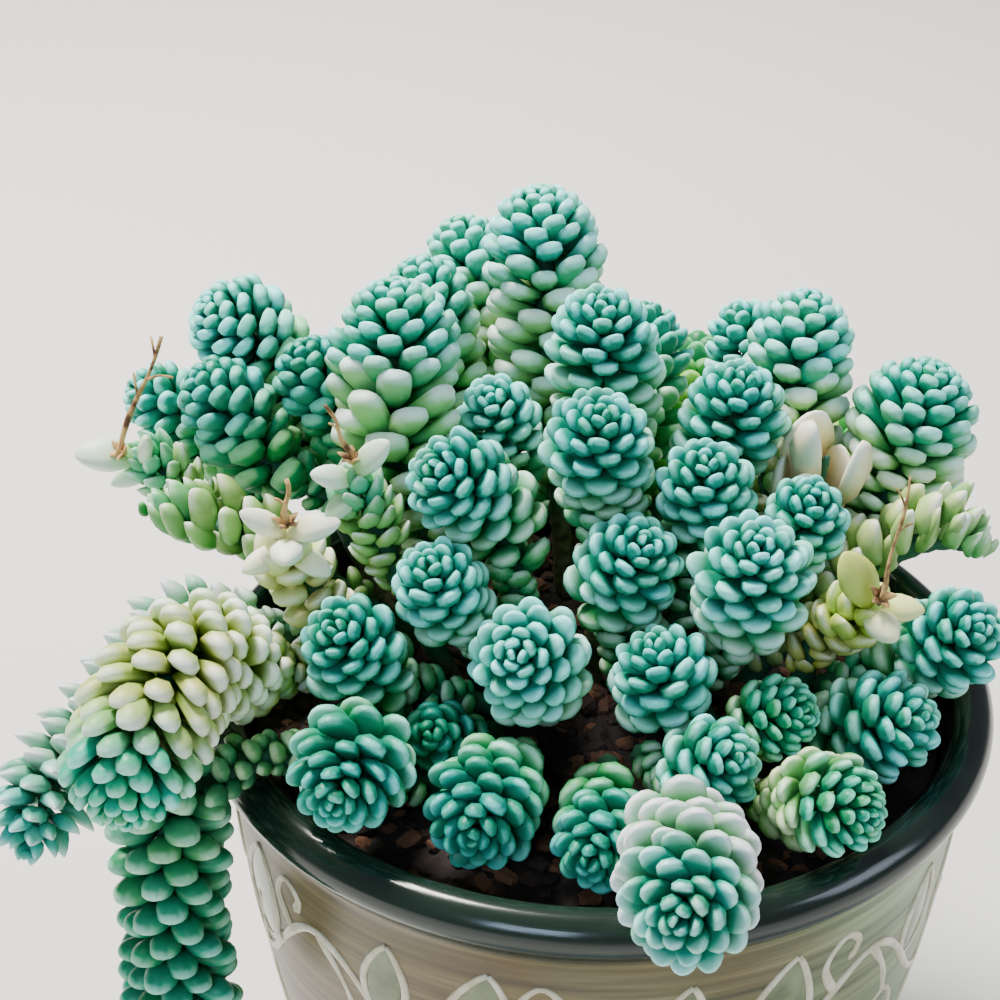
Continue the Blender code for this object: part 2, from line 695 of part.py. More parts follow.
def add_dry_stalks(lines):
    """Thin tapering twigs, each standing just clear of the tip of a pale head."""
    for name, (head, length, azimuth, climb, radius) in DRY_STALKS.items():
        line = lines[head]
        tip = line.at(0, 0, 0)
        way = tip - line.at(1.5, 0, 0)
        start = tip + way / np.linalg.norm(way) * CLEARANCE
        bend = start + way * 2
        places = np.array([start, bend, bend + heading(azimuth, climb) * length])
        middle = curve_through(places, length / 4)
        ahead = np.gradient(middle, axis=0)
        ahead /= np.linalg.norm(ahead, axis=1)[:, None]
        across = np.cross(ahead, (0.3, -1.0, 0.1))
        across /= np.linalg.norm(across, axis=1)[:, None]
        side = np.cross(ahead, across)
        points = []
        for k, place in enumerate(middle):
            thick = radius * (1 - 0.45 * k / (len(middle) - 1))
            for turn in 2 * math.pi * np.arange(DRY_SIDES) / DRY_SIDES:
                spoke = math.cos(turn) * across[k] + math.sin(turn) * side[k]
                points.append(place + thick * spoke)
        faces = [list(reversed(range(DRY_SIDES)))]
        for k in range(len(middle) - 1):
            for corner in range(DRY_SIDES):
                after = (corner + 1) % DRY_SIDES
                here = k * DRY_SIDES
                there = here + DRY_SIDES
                faces.append((here + corner, here + after, there + after, there + corner))
        faces.append([len(points) - DRY_SIDES + corner for corner in range(DRY_SIDES)])
        new_object(name, points, faces, "twig")


def add_stems(bunch):
    colours = {name: row[-1] for name, row in (*HEADS.items(), *TRAILS.items())}
    lines = {}
    for name, points, share, girth, leafy in bunch.stems():
        lines[name] = Line(points, share, girth)
        leafy_stem("stem_" + name, lines[name], leafy, colours[name])
    return lines


def main():
    clear_scene()
    add_pot()
    bunch = Bunch()
    bunch.settle()
    lines = add_stems(bunch)
    add_soil(bunch.points[bunch.starts[:-1], :2])
    add_dry_stalks(lines)


main()
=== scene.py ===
# The looks of a potted trailing sedum: plump waxy leaves on crowded stems in a glazed pot.
# Shapes are worked out in millimetres, as in the model, and newMesh turns them to metres.
import math

import bpy
import numpy as np
from mathutils import Matrix


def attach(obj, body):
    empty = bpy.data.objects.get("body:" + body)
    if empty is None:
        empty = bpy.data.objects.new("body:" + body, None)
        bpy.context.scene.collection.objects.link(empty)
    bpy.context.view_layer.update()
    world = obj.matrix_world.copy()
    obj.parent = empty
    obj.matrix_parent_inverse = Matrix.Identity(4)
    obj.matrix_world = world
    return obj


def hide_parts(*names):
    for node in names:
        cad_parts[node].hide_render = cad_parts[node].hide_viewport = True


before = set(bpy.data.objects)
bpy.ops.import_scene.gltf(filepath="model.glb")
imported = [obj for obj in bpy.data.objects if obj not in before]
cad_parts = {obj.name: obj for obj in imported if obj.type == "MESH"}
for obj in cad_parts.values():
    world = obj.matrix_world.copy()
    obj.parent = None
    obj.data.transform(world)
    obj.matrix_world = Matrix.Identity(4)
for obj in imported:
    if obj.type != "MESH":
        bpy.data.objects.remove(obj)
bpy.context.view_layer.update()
mm = 0.001
goldenAngle = math.radians(137.508)


# Small tools

def linear(hexColour):
    # sRGB hex to linear, each channel by the standard curve
    channels = [int(hexColour[k:k + 2], 16) / 255 for k in (1, 3, 5)]
    return tuple(c / 12.92 if c <= 0.04045 else ((c + 0.055) / 1.055)**2.4 for c in channels) + (1.0,)


def smooth(x):
    # 0 below 0, 1 above 1, and an even S between them
    t = np.clip(x, 0, 1)
    return t * t * (3 - 2 * t)


def addNode(tree, kind, settings=None, inputs=None, stops=()):
    # a node with its settings, its inputs as values or as the sockets that feed them, and where it
    # is a ramp its stops as positions and hex colours
    node = tree.nodes.new(kind)
    for key, value in (settings or {}).items():
        setattr(node, key, value)
    for key, value in (inputs or {}).items():
        if isinstance(value, bpy.types.NodeSocket):
            tree.links.new(value, node.inputs[key])
        else:
            node.inputs[key].default_value = value
    if stops:
        ramp = node.color_ramp.elements
        for stop, (position, colour) in zip(ramp, (stops[0], stops[-1])):
            stop.color = linear(colour)
            stop.position = position
        for position, colour in stops[1:-1]:
            ramp.new(position).color = linear(colour)
    return node


def newMaterial(name, **sockets):
    # a Principled material with constants on its own sockets, and its node tree
    material = bpy.data.materials.new(name)
    material.use_nodes = True
    tree = material.node_tree
    shader = tree.nodes["Principled BSDF"]
    for key, value in sockets.items():
        shader.inputs[key.replace("_", " ")].default_value = value
    return material, tree, shader


def newMesh(name, points, quads, triangles, materials, faceMaterial=None, attributes=None):
    # one smooth-shaded object at the origin from whole arrays: points, the corner numbers of its
    # quads and triangles, and attributes with one value for each point
    mesh = bpy.data.meshes.new(name)
    count = len(quads) + len(triangles)
    corners = np.concatenate([quads.ravel(), triangles.ravel()]).astype(np.int32)
    mesh.vertices.add(len(points))
    mesh.vertices.foreach_set("co", (points * mm).astype(np.float32).ravel())
    mesh.loops.add(len(corners))
    mesh.loops.foreach_set("vertex_index", corners)
    mesh.polygons.add(count)
    starts = np.concatenate([4 * np.arange(len(quads)), 4 * len(quads) + 3 * np.arange(len(triangles))])
    mesh.polygons.foreach_set("loop_start", starts.astype(np.int32))
    mesh.update(calc_edges=True)
    if faceMaterial is not None:
        mesh.polygons.foreach_set("material_index", faceMaterial.astype(np.int32))
    for key, values in (attributes or {}).items():
        layer = mesh.attributes.new(key, "FLOAT", "POINT")
        layer.data.foreach_set("value", values.astype(np.float32))
    mesh.shade_smooth()
    mesh.validate()
    for material in materials:
        mesh.materials.append(material)
    thing = bpy.data.objects.new(name, mesh)
    bpy.context.scene.collection.objects.link(thing)
    return thing


def tubeFaces(rings, around):
    # the quads between rings, and a fan at each end to the two points that follow them
    ring = np.arange(rings - 1)[:, None] * around
    here = np.arange(around)
    after = (here + 1) % around
    quads = np.stack([ring + here, ring + around + here, ring + around + after, ring + after], -1)
    last = (rings - 1) * around
    start = np.stack([np.full(around, rings * around), here, after], -1)
    end = np.stack([last + here, np.full(around, rings * around + 1), last + after], -1)
    return quads.reshape(-1, 4), np.concatenate([start, end])


def tubeBody(places, across, side, radii, turns):
    # rings round a line of places, radius times cosine across and sine to the side, and its ends
    ring = np.cos(turns)[None, :, None] * across[:, None] + np.sin(turns)[None, :, None] * side[:, None]
    body = places[:, None] + radii[..., None] * ring
    return np.concatenate([body.reshape(-1, 3), places[[0, -1]]])


def joined(name, bodies, material):
    # several closed tubes, each as its points and its faces, in one mesh
    points, quads, triangles, first = [], [], [], 0
    for body, (someQuads, someTriangles) in bodies:
        points.append(body)
        quads.append(someQuads + first)
        triangles.append(someTriangles + first)
        first += len(body)
    return newMesh(name, np.concatenate(points), np.concatenate(quads), np.concatenate(triangles),
                   [material])


# The stems' layout: the same places and the same settling as in the model

# each head: the place of its tip, its azimuth and climb, outer radius, leafy length and look
heads = {
    "crest": ((-12, 62, 203), 180, 82, 13.0, 46, "tall"),
    "crest_left": ((-30, 86, 186), 150, 66, 10.5, 26, "tall"),
    "shoulder": ((-39, 61, 187), 175, 66, 9.5, 32, "tall"),
    "tower": ((-42, 31, 196), 190, 80, 13.5, 46, "tall"),
    "far_left": ((-83, 54, 180), 165, 50, 12.0, 40, "deep"),
    "tucked_left": ((-62, 38, 178), 180, 64, 9.0, 22, "deep"),
    "left_twin": ((-100, 55, 160), 190, 28, 10.0, 24, "teal"),
    "left_mate": ((-83, 37, 171), 215, 30, 10.5, 28, "deep"),
    "upper_mid": ((1, 30, 193), 270, 76, 12.5, 32, "teal"),
    "centre": ((0, 1, 183), 275, 70, 12.0, 30, "teal"),
    "nook": ((-25, 27, 173), 265, 62, 10.0, 22, "teal"),
    "mid_left": ((-33, -5, 174.5), 215, 76, 12.5, 30, "teal"),
    "right_twin": ((31, 62, 175), 185, 62, 9.5, 24, "teal"),
    "back_right": ((45, 45, 187), 20, 78, 11.5, 38, "tall"),
    "right_mid": ((29, 20, 181), 270, 74, 11.5, 30, "teal"),
    "right_top": ((69, 28, 179), 10, 72, 13.0, 40, "mixed"),
    "right_inner": ((20, -3, 175), 280, 68, 10.5, 26, "teal"),
    "right_small": ((41, -5, 168), 300, 62, 9.5, 22, "teal"),
    "mid_front": ((8, -15, 164), 265, 56, 12.0, 26, "teal"),
    "right_front": ((28, -25, 170), 280, 62, 12.5, 32, "teal"),
    "left_face": ((-33, -18, 161), 262, 40, 11.0, 24, "teal"),
    "left_low": ((-51, -25, 151), 232, 28, 12.0, 32, "teal"),
    "face": ((-17, -35, 152), 266, 38, 13.0, 26, "teal"),
    "front": ((9, -29, 150), 210, 45, 12.0, 30, "teal"),
    "edge_right": ((72, -23, 150), 320, 30, 11.5, 30, "teal"),
    "lip_right": ((60, -36, 138), 300, 22, 12.0, 30, "teal"),
    "low_right": ((38, -38, 141), 325, 40, 9.5, 22, "open"),
    "low_mid": ((26, -52, 140), 285, 30, 11.0, 28, "teal"),
    "lip_low": ((46, -66, 138), 325, 16, 9.5, 28, "open"),
    "over_lip": ((8, -106, 150), 250, 22, 12.8, 38, "frosted"),
    "lip_front": ((-4, -68, 127), 245, 2, 9.5, 30, "teal"),
    "lip_mid": ((-25, -62, 129), 262, 4, 12.0, 32, "teal"),
    "shade": ((-37, -37, 130), 268, 40, 9.0, 16, "teal"),
    "lip_left": ((-49, -62, 138), 262, 24, 12.0, 34, "teal"),
    "pale_lower": ((-61, -4, 160), 255, 66, 9.5, 22, "cream"),
    "pale_upper": ((-48, 1, 171), 200, 68, 8.5, 24, "sprig"),
    "pale_left": ((-97, 29, 158), 195, 34, 9.0, 22, "sprig"),
    "pale_right": ((51, -21, 154), 265, 60, 9.5, 26, "fading"),
    "bleached": ((46, 9, 172), 300, 74, 8.5, 20, "papery"),
    "rear_left": ((-56, 82, 160), 125, 45, 11.5, 36, "teal"),
    "rear_mid": ((-10, 104, 163), 95, 42, 12.0, 36, "teal"),
    "rear_inner": ((14, 84, 166), 80, 60, 11.5, 34, "teal"),
    "rear_right": ((50, 84, 160), 60, 42, 12.0, 34, "teal"),
    "rear_far_right": ((78, 58, 150), 30, 30, 12.0, 34, "green"),
    "rear_low_left": ((-84, 84, 142), 140, 20, 11.5, 34, "teal"),
    "rear_low_mid": ((30, 112, 140), 75, 15, 11.5, 34, "green"),
}

# each trailing stem: places from the soil to the tip, outer radius, leafy length and look
trails = {
    "trail_near": (((-43, 4), (-52, 0, 131), (-63, -12, 141), (-73, -38, 150), (-81, -53, 148),
                    (-85.5, -62, 145), (-85, -70, 140)), 13.0, 62, "pale"),
    "trail_mate": (((-50, 18), (-60, 14, 129), (-73, 5, 137), (-87, -5, 137), (-98, -15, 133),
                    (-104, -26, 127), (-107.5, -37, 119.5), (-109, -46, 112)), 11.0, 70, "spiky"),
    "hanging": (((-38, -22), (-50, -31, 126), (-66, -42, 134), (-78, -50.5, 124), (-80.5, -49, 110),
                 (-81.5, -47, 95), (-82.5, -44, 78), (-84, -41, 61)), 12.0, 74, "hanging"),
    "left_spread": (((-46, 28), (-56, 24, 133), (-68, 19, 141), (-82, 19, 147), (-95, 20, 152)),
                    11.0, 40, "spread"),
    "right_spread": (((34, 6), (42, 4, 136), (54, 0, 149), (66, -1, 151), (80, -2, 149)),
                     11.0, 36, "upright"),
}

layout = {
    # the mix's level, the space between centre points, the gap kept and the rounds of settling
    "soilLevel": 115.0, "step": 4.0, "gap": 0.5, "rounds": 240, "pairsEvery": 15, "pairReach": 8.0,
    # bare stalks, and the circle in which they root
    "stalkRadius": 2.2, "stalkRoom": 2.9, "rootRoom": 3.7, "rootCircle": 57.0, "rootInward": 0.72,
    "rootBend": 22.0, "rootLean": 0.7, "rootLift": 0.8, "seatDepth": 7.2,
    # how a head's stem climbs, as the handles of its Bezier curve
    "straightHead": 30.0, "lowestNeck": 10.0, "riseShare": 0.15, "riseClimb": 0.4, "riseLeast": 6.0,
    "leadShare": 0.35, "leadLeast": 4.0,
    # the shape of the room that a head takes
    "leafFade": 9.0, "domeLength": 1.08, "tipShare": 0.55, "tipMost": 6.0, "shareSlope": 0.1,
    # how firmly tips keep their places and stems their bends and lengths
    "heldPoints": 5, "hold": 0.06, "evenOut": 0.5, "lengthPull": 0.25,
    # what leaves may reach: into the mix, to the lip and to their neighbours
    "fitReach": 2.0, "leafSink": 1.5, "leafToLip": 0.5, "leafGap": 0.4,
    # the pot's lip and wall
    "lipRadius": 80.0, "lipHeight": 9.0, "potHeight": 125.0, "neckRadius": 75.5, "wall": 5.5,
    "lipClearance": 2.0, "soilClearance": 0.8,
}


def heading(azimuth, climb):
    # the unit direction at an azimuth and a climb in degrees
    a = math.radians(azimuth)
    c = math.radians(climb)
    return np.array([math.cos(a) * math.cos(c), math.sin(a) * math.cos(c), math.sin(c)])


def resampled(points, step):
    # the same line with points evenly along it
    lengths = np.linalg.norm(np.diff(points, axis=0), axis=1)
    along = np.concatenate([[0.0], np.cumsum(lengths)])
    stops = np.linspace(0, along[-1], max(4, int(round(along[-1] / step))) + 1)
    return np.stack([np.interp(stops, along, points[:, axis]) for axis in range(3)], 1)


def curveThrough(places, step):
    # Catmull-Rom: each stretch is a cubic that leaves and arrives along its neighbours' chord
    ends = np.vstack([2 * places[0] - places[1], places, 2 * places[-1] - places[-2]])
    t = np.linspace(0, 1, 16, endpoint=False)[:, None]
    parts = []
    for a, b, c, d in zip(ends[:-3], ends[1:-2], ends[2:-1], ends[3:]):
        bend = 2 * b + (c - a) * t + (2 * a - 5 * b + 4 * c - d) * t**2
        parts.append(0.5 * (bend + (3 * b - a - 3 * c + d) * t**3))
    parts.append(places[-1:])
    return resampled(np.vstack(parts), step)


def headRoute(tip, azimuth, climb, leafy):
    # a Bezier from the soil under the head into the head's own straight line
    tip = np.array(tip, float)
    way = heading(azimuth, climb)
    soil = layout["soilLevel"]
    neck = tip - way * min(leafy, layout["straightHead"])
    neck[2] = max(neck[2], soil + layout["lowestNeck"])
    root = np.array([neck[0] * layout["rootInward"], neck[1] * layout["rootInward"], soil])
    root[:2] *= min(1.0, layout["rootCircle"] / max(math.hypot(root[0], root[1]), 1.0))
    rise = root + layout["riseShare"] * (neck - root)
    rise[2] = soil + max(layout["riseLeast"], layout["riseClimb"] * (neck[2] - soil))
    lead = neck - way * layout["leadShare"] * np.linalg.norm(neck - root)
    lead[2] = max(lead[2], soil + layout["leadLeast"])
    t = np.linspace(0, 1, 30)[:, None]
    climbPart = ((1 - t)**3 * root + 3 * (1 - t)**2 * t * rise
                 + 3 * (1 - t) * t**2 * lead + t**3 * neck)
    return resampled(np.vstack([climbPart, tip[None]]), layout["step"])


def roomAlong(count, spacing, girth, leafy):
    # a half ellipse at the tip, the full radius along the leaves, then the bare stalk
    back = (count - 1 - np.arange(count)) * spacing
    share = np.clip(back / (layout["domeLength"] * girth), 0, 1)
    wanted = girth * np.sqrt(1 - (1 - share)**2)
    fade = np.clip((back - leafy) / layout["leafFade"], 0, 1)
    wanted = wanted * (1 - fade) + layout["stalkRoom"] * fade
    wanted[-1] = min(layout["tipShare"] * girth, layout["tipMost"])
    wanted[:2] = np.maximum(wanted[:2], layout["rootRoom"])
    return np.maximum(wanted, layout["stalkRoom"])


def evened(share):
    # the same share, changing slowly and nowhere larger
    place = np.arange(len(share))
    slow = (share[None, :] + layout["shareSlope"] * abs(place[:, None] - place[None, :])).min(1)
    padded = np.pad(slow, 1, mode="edge")
    return np.minimum(slow, (padded[:-2] + 2 * slow + padded[2:]) / 4)


def backFromTip(points):
    # distances along the line from its last point, which is the tip
    steps = np.linalg.norm(np.diff(points[::-1], axis=0), axis=1)
    return np.concatenate([[0.0], np.cumsum(steps)])


class Bunch:
    # all the stems' centre points in one array, pushed apart until each has its room

    def __init__(self):
        self.names = list(heads) + list(trails)
        routes = [headRoute(t, a, c, leafy) for t, a, c, _, leafy, _ in heads.values()]
        self.girth = [row[3] for row in heads.values()]
        self.leafy = [row[4] for row in heads.values()]
        for places, girth, leafy, _ in trails.values():
            root = (*places[0], layout["soilLevel"])
            routes.append(curveThrough(np.array([root, *places[1:]], float), layout["step"]))
            self.girth.append(girth)
            self.leafy.append(leafy)
        self.counts = [len(route) for route in routes]
        self.starts = np.concatenate([[0], np.cumsum(self.counts)])
        self.owner = np.repeat(np.arange(len(routes)), self.counts)
        self.home = np.vstack(routes)
        self.points = self.home.copy()
        self.spacing = [np.linalg.norm(np.diff(r, axis=0), axis=1).mean() for r in routes]
        lengths = np.multiply(self.spacing, np.subtract(self.counts, 1))
        self.leafy = np.minimum(self.leafy, lengths - layout["rootBend"])
        rows = zip(self.counts, self.spacing, self.girth, self.leafy)
        self.room = np.concatenate([roomAlong(*row) for row in rows])
        toTip = np.concatenate([count - 1 - np.arange(count) for count in self.counts])
        self.fromRoot = np.concatenate([np.arange(count) for count in self.counts])
        self.hold = np.where(toTip < layout["heldPoints"], layout["hold"], 0.0)[:, None]

    def otherPairs(self):
        # every two points on different stems, and how far apart they are
        first, second = np.triu_indices(len(self.points), 1)
        other = self.owner[first] != self.owner[second]
        first, second = first[other], second[other]
        return first, second, np.linalg.norm(self.points[first] - self.points[second], axis=1)

    def nearPairs(self, reach):
        # the pairs whose rooms come within reach of each other
        first, second, away = self.otherPairs()
        close = away < self.room[first] + self.room[second] + reach
        return first[close], second[close]

    def partNeighbours(self, first, second):
        # each pair that lies too close moves apart by half of what it lacks
        apart = self.points[first] - self.points[second]
        away = np.linalg.norm(apart, axis=1) + 1e-9
        lack = np.clip(self.room[first] + self.room[second] + layout["gap"] - away, 0, None)
        push = apart * (lack / away)[:, None]
        size = len(self.points)
        hits = np.bincount(first[lack > 0], minlength=size)
        hits += np.bincount(second[lack > 0], minlength=size)
        for axis in range(3):
            total = np.bincount(first, push[:, axis], size)
            total -= np.bincount(second, push[:, axis], size)
            self.points[:, axis] += 0.5 * total / np.maximum(hits, 1)

    def smoothStems(self):
        # each stem evens out its bends and keeps its length
        for start, end, spacing in zip(self.starts[:-1], self.starts[1:], self.spacing):
            line = self.points[start:end]
            line[1:-1] += layout["evenOut"] * ((line[:-2] + line[2:]) / 2 - line[1:-1])
            for _ in range(2):
                run = np.diff(line, axis=0)
                length = np.linalg.norm(run, axis=1)[:, None] + 1e-9
                slip = run * (1 - spacing / length) * layout["lengthPull"]
                line[:-1] += slip
                line[1:] -= slip

    def keepRoots(self):
        # roots stay at the mix's level inside their circle, and stems leave them steeply
        roots = self.starts[:-1]
        self.points[roots, 2] = layout["soilLevel"]
        out = np.hypot(self.points[roots, 0], self.points[roots, 1])
        self.points[roots, :2] *= np.minimum(1, layout["rootCircle"] / out)[:, None]
        lean = self.points[roots + 1, :2] - self.points[roots, :2]
        self.points[roots + 1, :2] = self.points[roots, :2] + layout["rootLean"] * lean
        lowest = layout["soilLevel"] + layout["rootLift"] * layout["step"]
        self.points[roots + 1, 2] = np.maximum(self.points[roots + 1, 2], lowest)

    def clearPot(self):
        # every point stays above the soil, off the lip and on its own side of the wall
        out = np.hypot(self.points[:, 0], self.points[:, 1]) + 1e-9
        height = self.points[:, 2]
        roll = layout["lipHeight"] / 2
        lipOut = layout["lipRadius"] - roll
        lipUp = layout["potHeight"] - roll
        low = (self.fromRoot > 1) & (out < lipOut - layout["lipClearance"])
        floor = layout["soilLevel"] + self.room + layout["soilClearance"]
        height += np.where(low & (height < floor), 0.5 * (floor - height), 0)
        side = out - lipOut
        rise = height - lipUp
        away = np.hypot(side, rise) + 1e-9
        lack = np.clip(self.room + roll + layout["lipClearance"] - away, 0, None)
        shift = side / away * lack
        height += rise / away * lack
        below = (height < lipUp) & (self.fromRoot > 0)
        outer = layout["neckRadius"] + layout["lipClearance"] + self.room
        inner = layout["neckRadius"] - layout["wall"] - layout["lipClearance"] - self.room
        newOut = out + shift
        newOut = np.where(below & (out >= lipOut), np.maximum(newOut, outer), newOut)
        newOut = np.where(below & (out < lipOut), np.minimum(newOut, inner), newOut)
        self.points[:, :2] *= (newOut / out)[:, None]

    def settle(self):
        # every rule in turn, with the near pairs looked up again every few rounds
        for turn in range(layout["rounds"]):
            if turn % layout["pairsEvery"] == 0:
                first, second = self.nearPairs(layout["pairReach"])
            self.partNeighbours(first, second)
            self.smoothStems()
            self.points += self.hold * (self.home - self.points)
            self.keepRoots()
            self.clearPot()

    def fittedRoom(self):
        # each point's room, cut back to its fair share of the space to its neighbours
        first, second = self.nearPairs(layout["fitReach"])
        away = np.linalg.norm(self.points[first] - self.points[second], axis=1) - layout["gap"]
        share = self.room[first] / (self.room[first] + self.room[second])
        room = self.room.copy()
        np.minimum.at(room, first, away * share)
        np.minimum.at(room, second, away * (1 - share))
        return room

    def spareRoom(self, room):
        # how far leaves may reach from each point: up to leafy neighbours, half way to bare stalks
        first, second, away = self.otherPairs()
        bare = self.room < layout["rootRoom"] + 0.1
        spare = self.points[:, 2] - layout["soilLevel"] + layout["leafSink"]
        out = np.hypot(self.points[:, 0], self.points[:, 1])
        roll = layout["lipHeight"] / 2
        lip = np.hypot(out - layout["lipRadius"] + roll, self.points[:, 2] - layout["potHeight"] + roll)
        spare = np.minimum(spare, lip - roll - layout["leafToLip"])
        for here, there in ((first, second), (second, first)):
            reach = np.where(bare[there], away / 2, away - room[there])
            np.minimum.at(spare, here, reach - layout["leafGap"])
        return spare

    def stems(self):
        # each stem's settled line, with its share of its room and how far its leaves may reach
        room = self.fittedRoom()
        share = room / self.room
        spare = self.spareRoom(room)
        for k, name in enumerate(self.names):
            part = slice(self.starts[k], self.starts[k + 1])
            points = self.points[part]
            planned = self.spacing[k] * np.arange(len(points))
            leafy = np.interp(self.leafy[k], planned, backFromTip(points))
            line = StemLine(points, evened(share[part]), self.girth[k], leafy)
            line.spare = spare[part][::-1]
            yield name, line


class StemLine:
    # a stem's fine centre line, measured back from its tip, with a frame that doesn't twist

    def __init__(self, points, share, girth, leafy):
        ends = np.vstack([points[:1] - [0, 0, layout["seatDepth"]], points])
        fine = curveThrough(ends, 1.0)
        lengths = np.linalg.norm(np.diff(fine, axis=0), axis=1)
        self.back = np.concatenate([np.cumsum(lengths[::-1])[::-1], [0.0]])
        way = np.gradient(fine, axis=0)
        way /= np.linalg.norm(way, axis=1)[:, None]
        way[0] = (0, 0, 1)
        across = np.zeros_like(fine)
        across[0] = (1, 0, 0)
        for k in range(1, len(fine)):
            flat = across[k - 1] - way[k] * (across[k - 1] @ way[k])
            across[k] = flat / np.linalg.norm(flat)
        self.places, self.across, self.way = fine, across, way
        self.side = np.cross(way, across)
        self.length = self.back[0] - layout["seatDepth"]
        self.share = share[::-1]
        stops = backFromTip(points)
        self.shareStops = stops * self.length / stops[-1]
        self.girth, self.leafy = girth, leafy

    def frames(self, back):
        # whole arrays: the line's place and its three directions, at distances back from the tip
        order = self.back[::-1]
        rows = []
        for values in (self.places, self.across, self.side, self.way):
            flipped = values[::-1]
            rows.append(np.stack([np.interp(back, order, flipped[:, axis]) for axis in range(3)], -1))
        return rows


bunch = Bunch()
bunch.settle()
stemLines = dict(bunch.stems())
print("stems settled:", len(stemLines))


# Fleshy leaves: a saturated green body under a film of pale wax that thickens to the leaf's end, with
# painted shade at each leaf's foot and painted highlight partly on its rims

# spacing is the distance between grown leaves, which they near at "growth" from the tip; width
# and length are shares of it, plump is depth against width, and lean is in degrees; a leaf is
# widest at that share of its length, and "end" is the power of its superellipse; ripeFrom and
# ripeOver say how far below the tip leaves turn riper, and rise turns them up to the light
looks = {
    # colours: painted shade in the gaps at a leaf's foot, the body, and the wax, which is partly painted
    # highlight, then the same three on older, riper leaves
    "teal": {"colours": ("#008066", "#008A74", "#A6FFF8", "#1E8E54", "#7CC68E", "#E4FFE4"),
             "ripeFrom": 6.0, "ripeOver": 22.0, "slot": "leaf_teal", "width": 0.86,
             "spacing": 8.3, "growth": 13.5, "end": 2.0, "widest": 0.57, "lean": 70, "plump": 0.56},
    "green": {"colours": ("#04482E", "#128454", "#92EEB0", "#1C6A26", "#6CB24A", "#CCF496"),
              "ripeFrom": 8.0, "ripeOver": 22.0, "slot": "leaf_green", "width": 0.98,
              "spacing": 7.2, "growth": 13.0, "end": 2.2, "widest": 0.58, "lean": 66, "plump": 0.54},
    "pale": {"colours": ("#0F7A5E", "#34B292", "#BCFFEA", "#7C9848", "#C2CC82", "#FCFFEC"),
             "ripeFrom": 4.0, "ripeOver": 15.0, "slot": "leaf_pale", "width": 0.84,
             "spacing": 6.3, "growth": 11.0, "end": 2.4, "widest": 0.62, "lean": 56, "plump": 0.72},
    "cream": {"colours": ("#B2BE70", "#E4E6B0", "#FFFFF0", "#C2C078", "#ECECBC", "#FFFFF4"),
              "ripeFrom": 0.0, "ripeOver": 14.0, "slot": "leaf_cream", "width": 0.84,
              "spacing": 9.0, "growth": 7.0, "end": 1.45, "widest": 0.46, "lean": 72, "plump": 0.46,
              "length": 1.6, "youngest": 0.42},
}
# tall stems bear larger, blunter leaves, which pale lower down or turn a deep green
looks["tall"] = {**looks["teal"], "spacing": 8.8, "growth": 18.0, "youngest": 0.22, "ripeFrom": 7.0,
                 "ripeOver": 16.0, "end": 3.0, "widest": 0.66, "lean": 61, "width": 0.92, "plump": 0.58,
                 "colours": ("#0E9670", "#0A9A7E", "#B0FFF6", "#4E9E5A", "#A0CC8A", "#EEFCF0")}
looks["mixed"] = {**looks["tall"], "slot": "leaf_green", "spacing": 8.0, "ripeFrom": 5.0}
looks["deep"] = {**looks["tall"], "ripeFrom": 8.0, "ripeOver": 14.0,
                 "colours": ("#00745A", "#008470", "#A4FFF4", "#00703E", "#2A905A", "#B8EEB4")}
looks["open"] = {**looks["mixed"], "spacing": 7.6, "width": 0.8, "end": 1.8, "lean": 60, "ripeFrom": 3.0,
                 "colours": ("#0A8460", "#108A66", "#A0FFE4", "#5A9C50", "#A8D08A", "#F6FFD0")}
# the head over the lip is frosted white, and the trailing stems' pointed leaves turn upwards
looks["frosted"] = {**looks["teal"], "ripeOver": 12.0,
                    "colours": ("#0A7C60", "#149078", "#C4FFF4", "#58A272", "#A8D0AC", "#FFF6FF")}
looks["spiky"] = {**looks["pale"], "spacing": 8.6, "end": 1.3, "widest": 0.42, "lean": 74, "width": 0.76,
                  "plump": 0.6, "length": 1.55, "rise": 0.45,
                  "colours": ("#268E78", "#72C4B6", "#F0FCFF", "#70AE8C", "#C0D6CA", "#FFF8FF")}
looks["hanging"] = {**looks["green"], "spacing": 7.3, "growth": 9.0, "width": 0.82, "end": 2.0,
                    "widest": 0.54, "lean": 74, "plump": 0.74, "ripeFrom": 24.0, "ripeOver": 70.0,
                    "rise": 0.5,
                    "colours": ("#0A5A42", "#2A8E6C", "#B0F0DC", "#2A6E48", "#74AA74", "#DCF4C8")}
looks["spread"] = {**looks["green"], "spacing": 10.2, "width": 0.7, "end": 1.5, "widest": 0.5, "lean": 56,
                   "length": 1.65, "plump": 0.62, "slot": "leaf_pale", "ripeFrom": -6.0, "ripeOver": 18.0,
                   "rise": 1.2, "growth": 9.0,
                   "colours": ("#1E7444", "#66B27C", "#DCFCE2", "#4E8A48", "#A6C882", "#FFFDEC")}
looks["upright"] = {**looks["spread"], "rise": 2.4,
                    "colours": ("#3E9A5A", "#94CA98", "#F6FFF4", "#78A25C", "#CCDA98", "#FFFBF6")}
# large papery leaves on the bleached head, and fading and pale green ones by the dried stalks
looks["papery"] = {**looks["cream"], "spacing": 12.0, "youngest": 0.9, "lean": 20, "rise": 0.4,
                   "length": 1.7, "plump": 0.24, "end": 1.9, "widest": 0.5, "width": 0.82,
                   "colours": ("#DCCC9C", "#FBF2D4", "#FFFFF4", "#D6C490", "#FBF0CE", "#FFFFF4")}
looks["fading"] = {**looks["cream"], "slot": "leaf_pale", "spacing": 8.0, "lean": 66, "rise": 0.25,
                   "colours": ("#86B050", "#CCE07C", "#FDFCD8", "#B4BC54", "#EAEA9C", "#FFFDE4")}
looks["sprig"] = {**looks["fading"], "spacing": 6.6, "width": 0.78, "end": 1.35, "youngest": 0.4,
                  "colours": ("#2E9A70", "#7CC8A0", "#ECFEF4", "#78B05C", "#C0DC94", "#FFFEF8")}


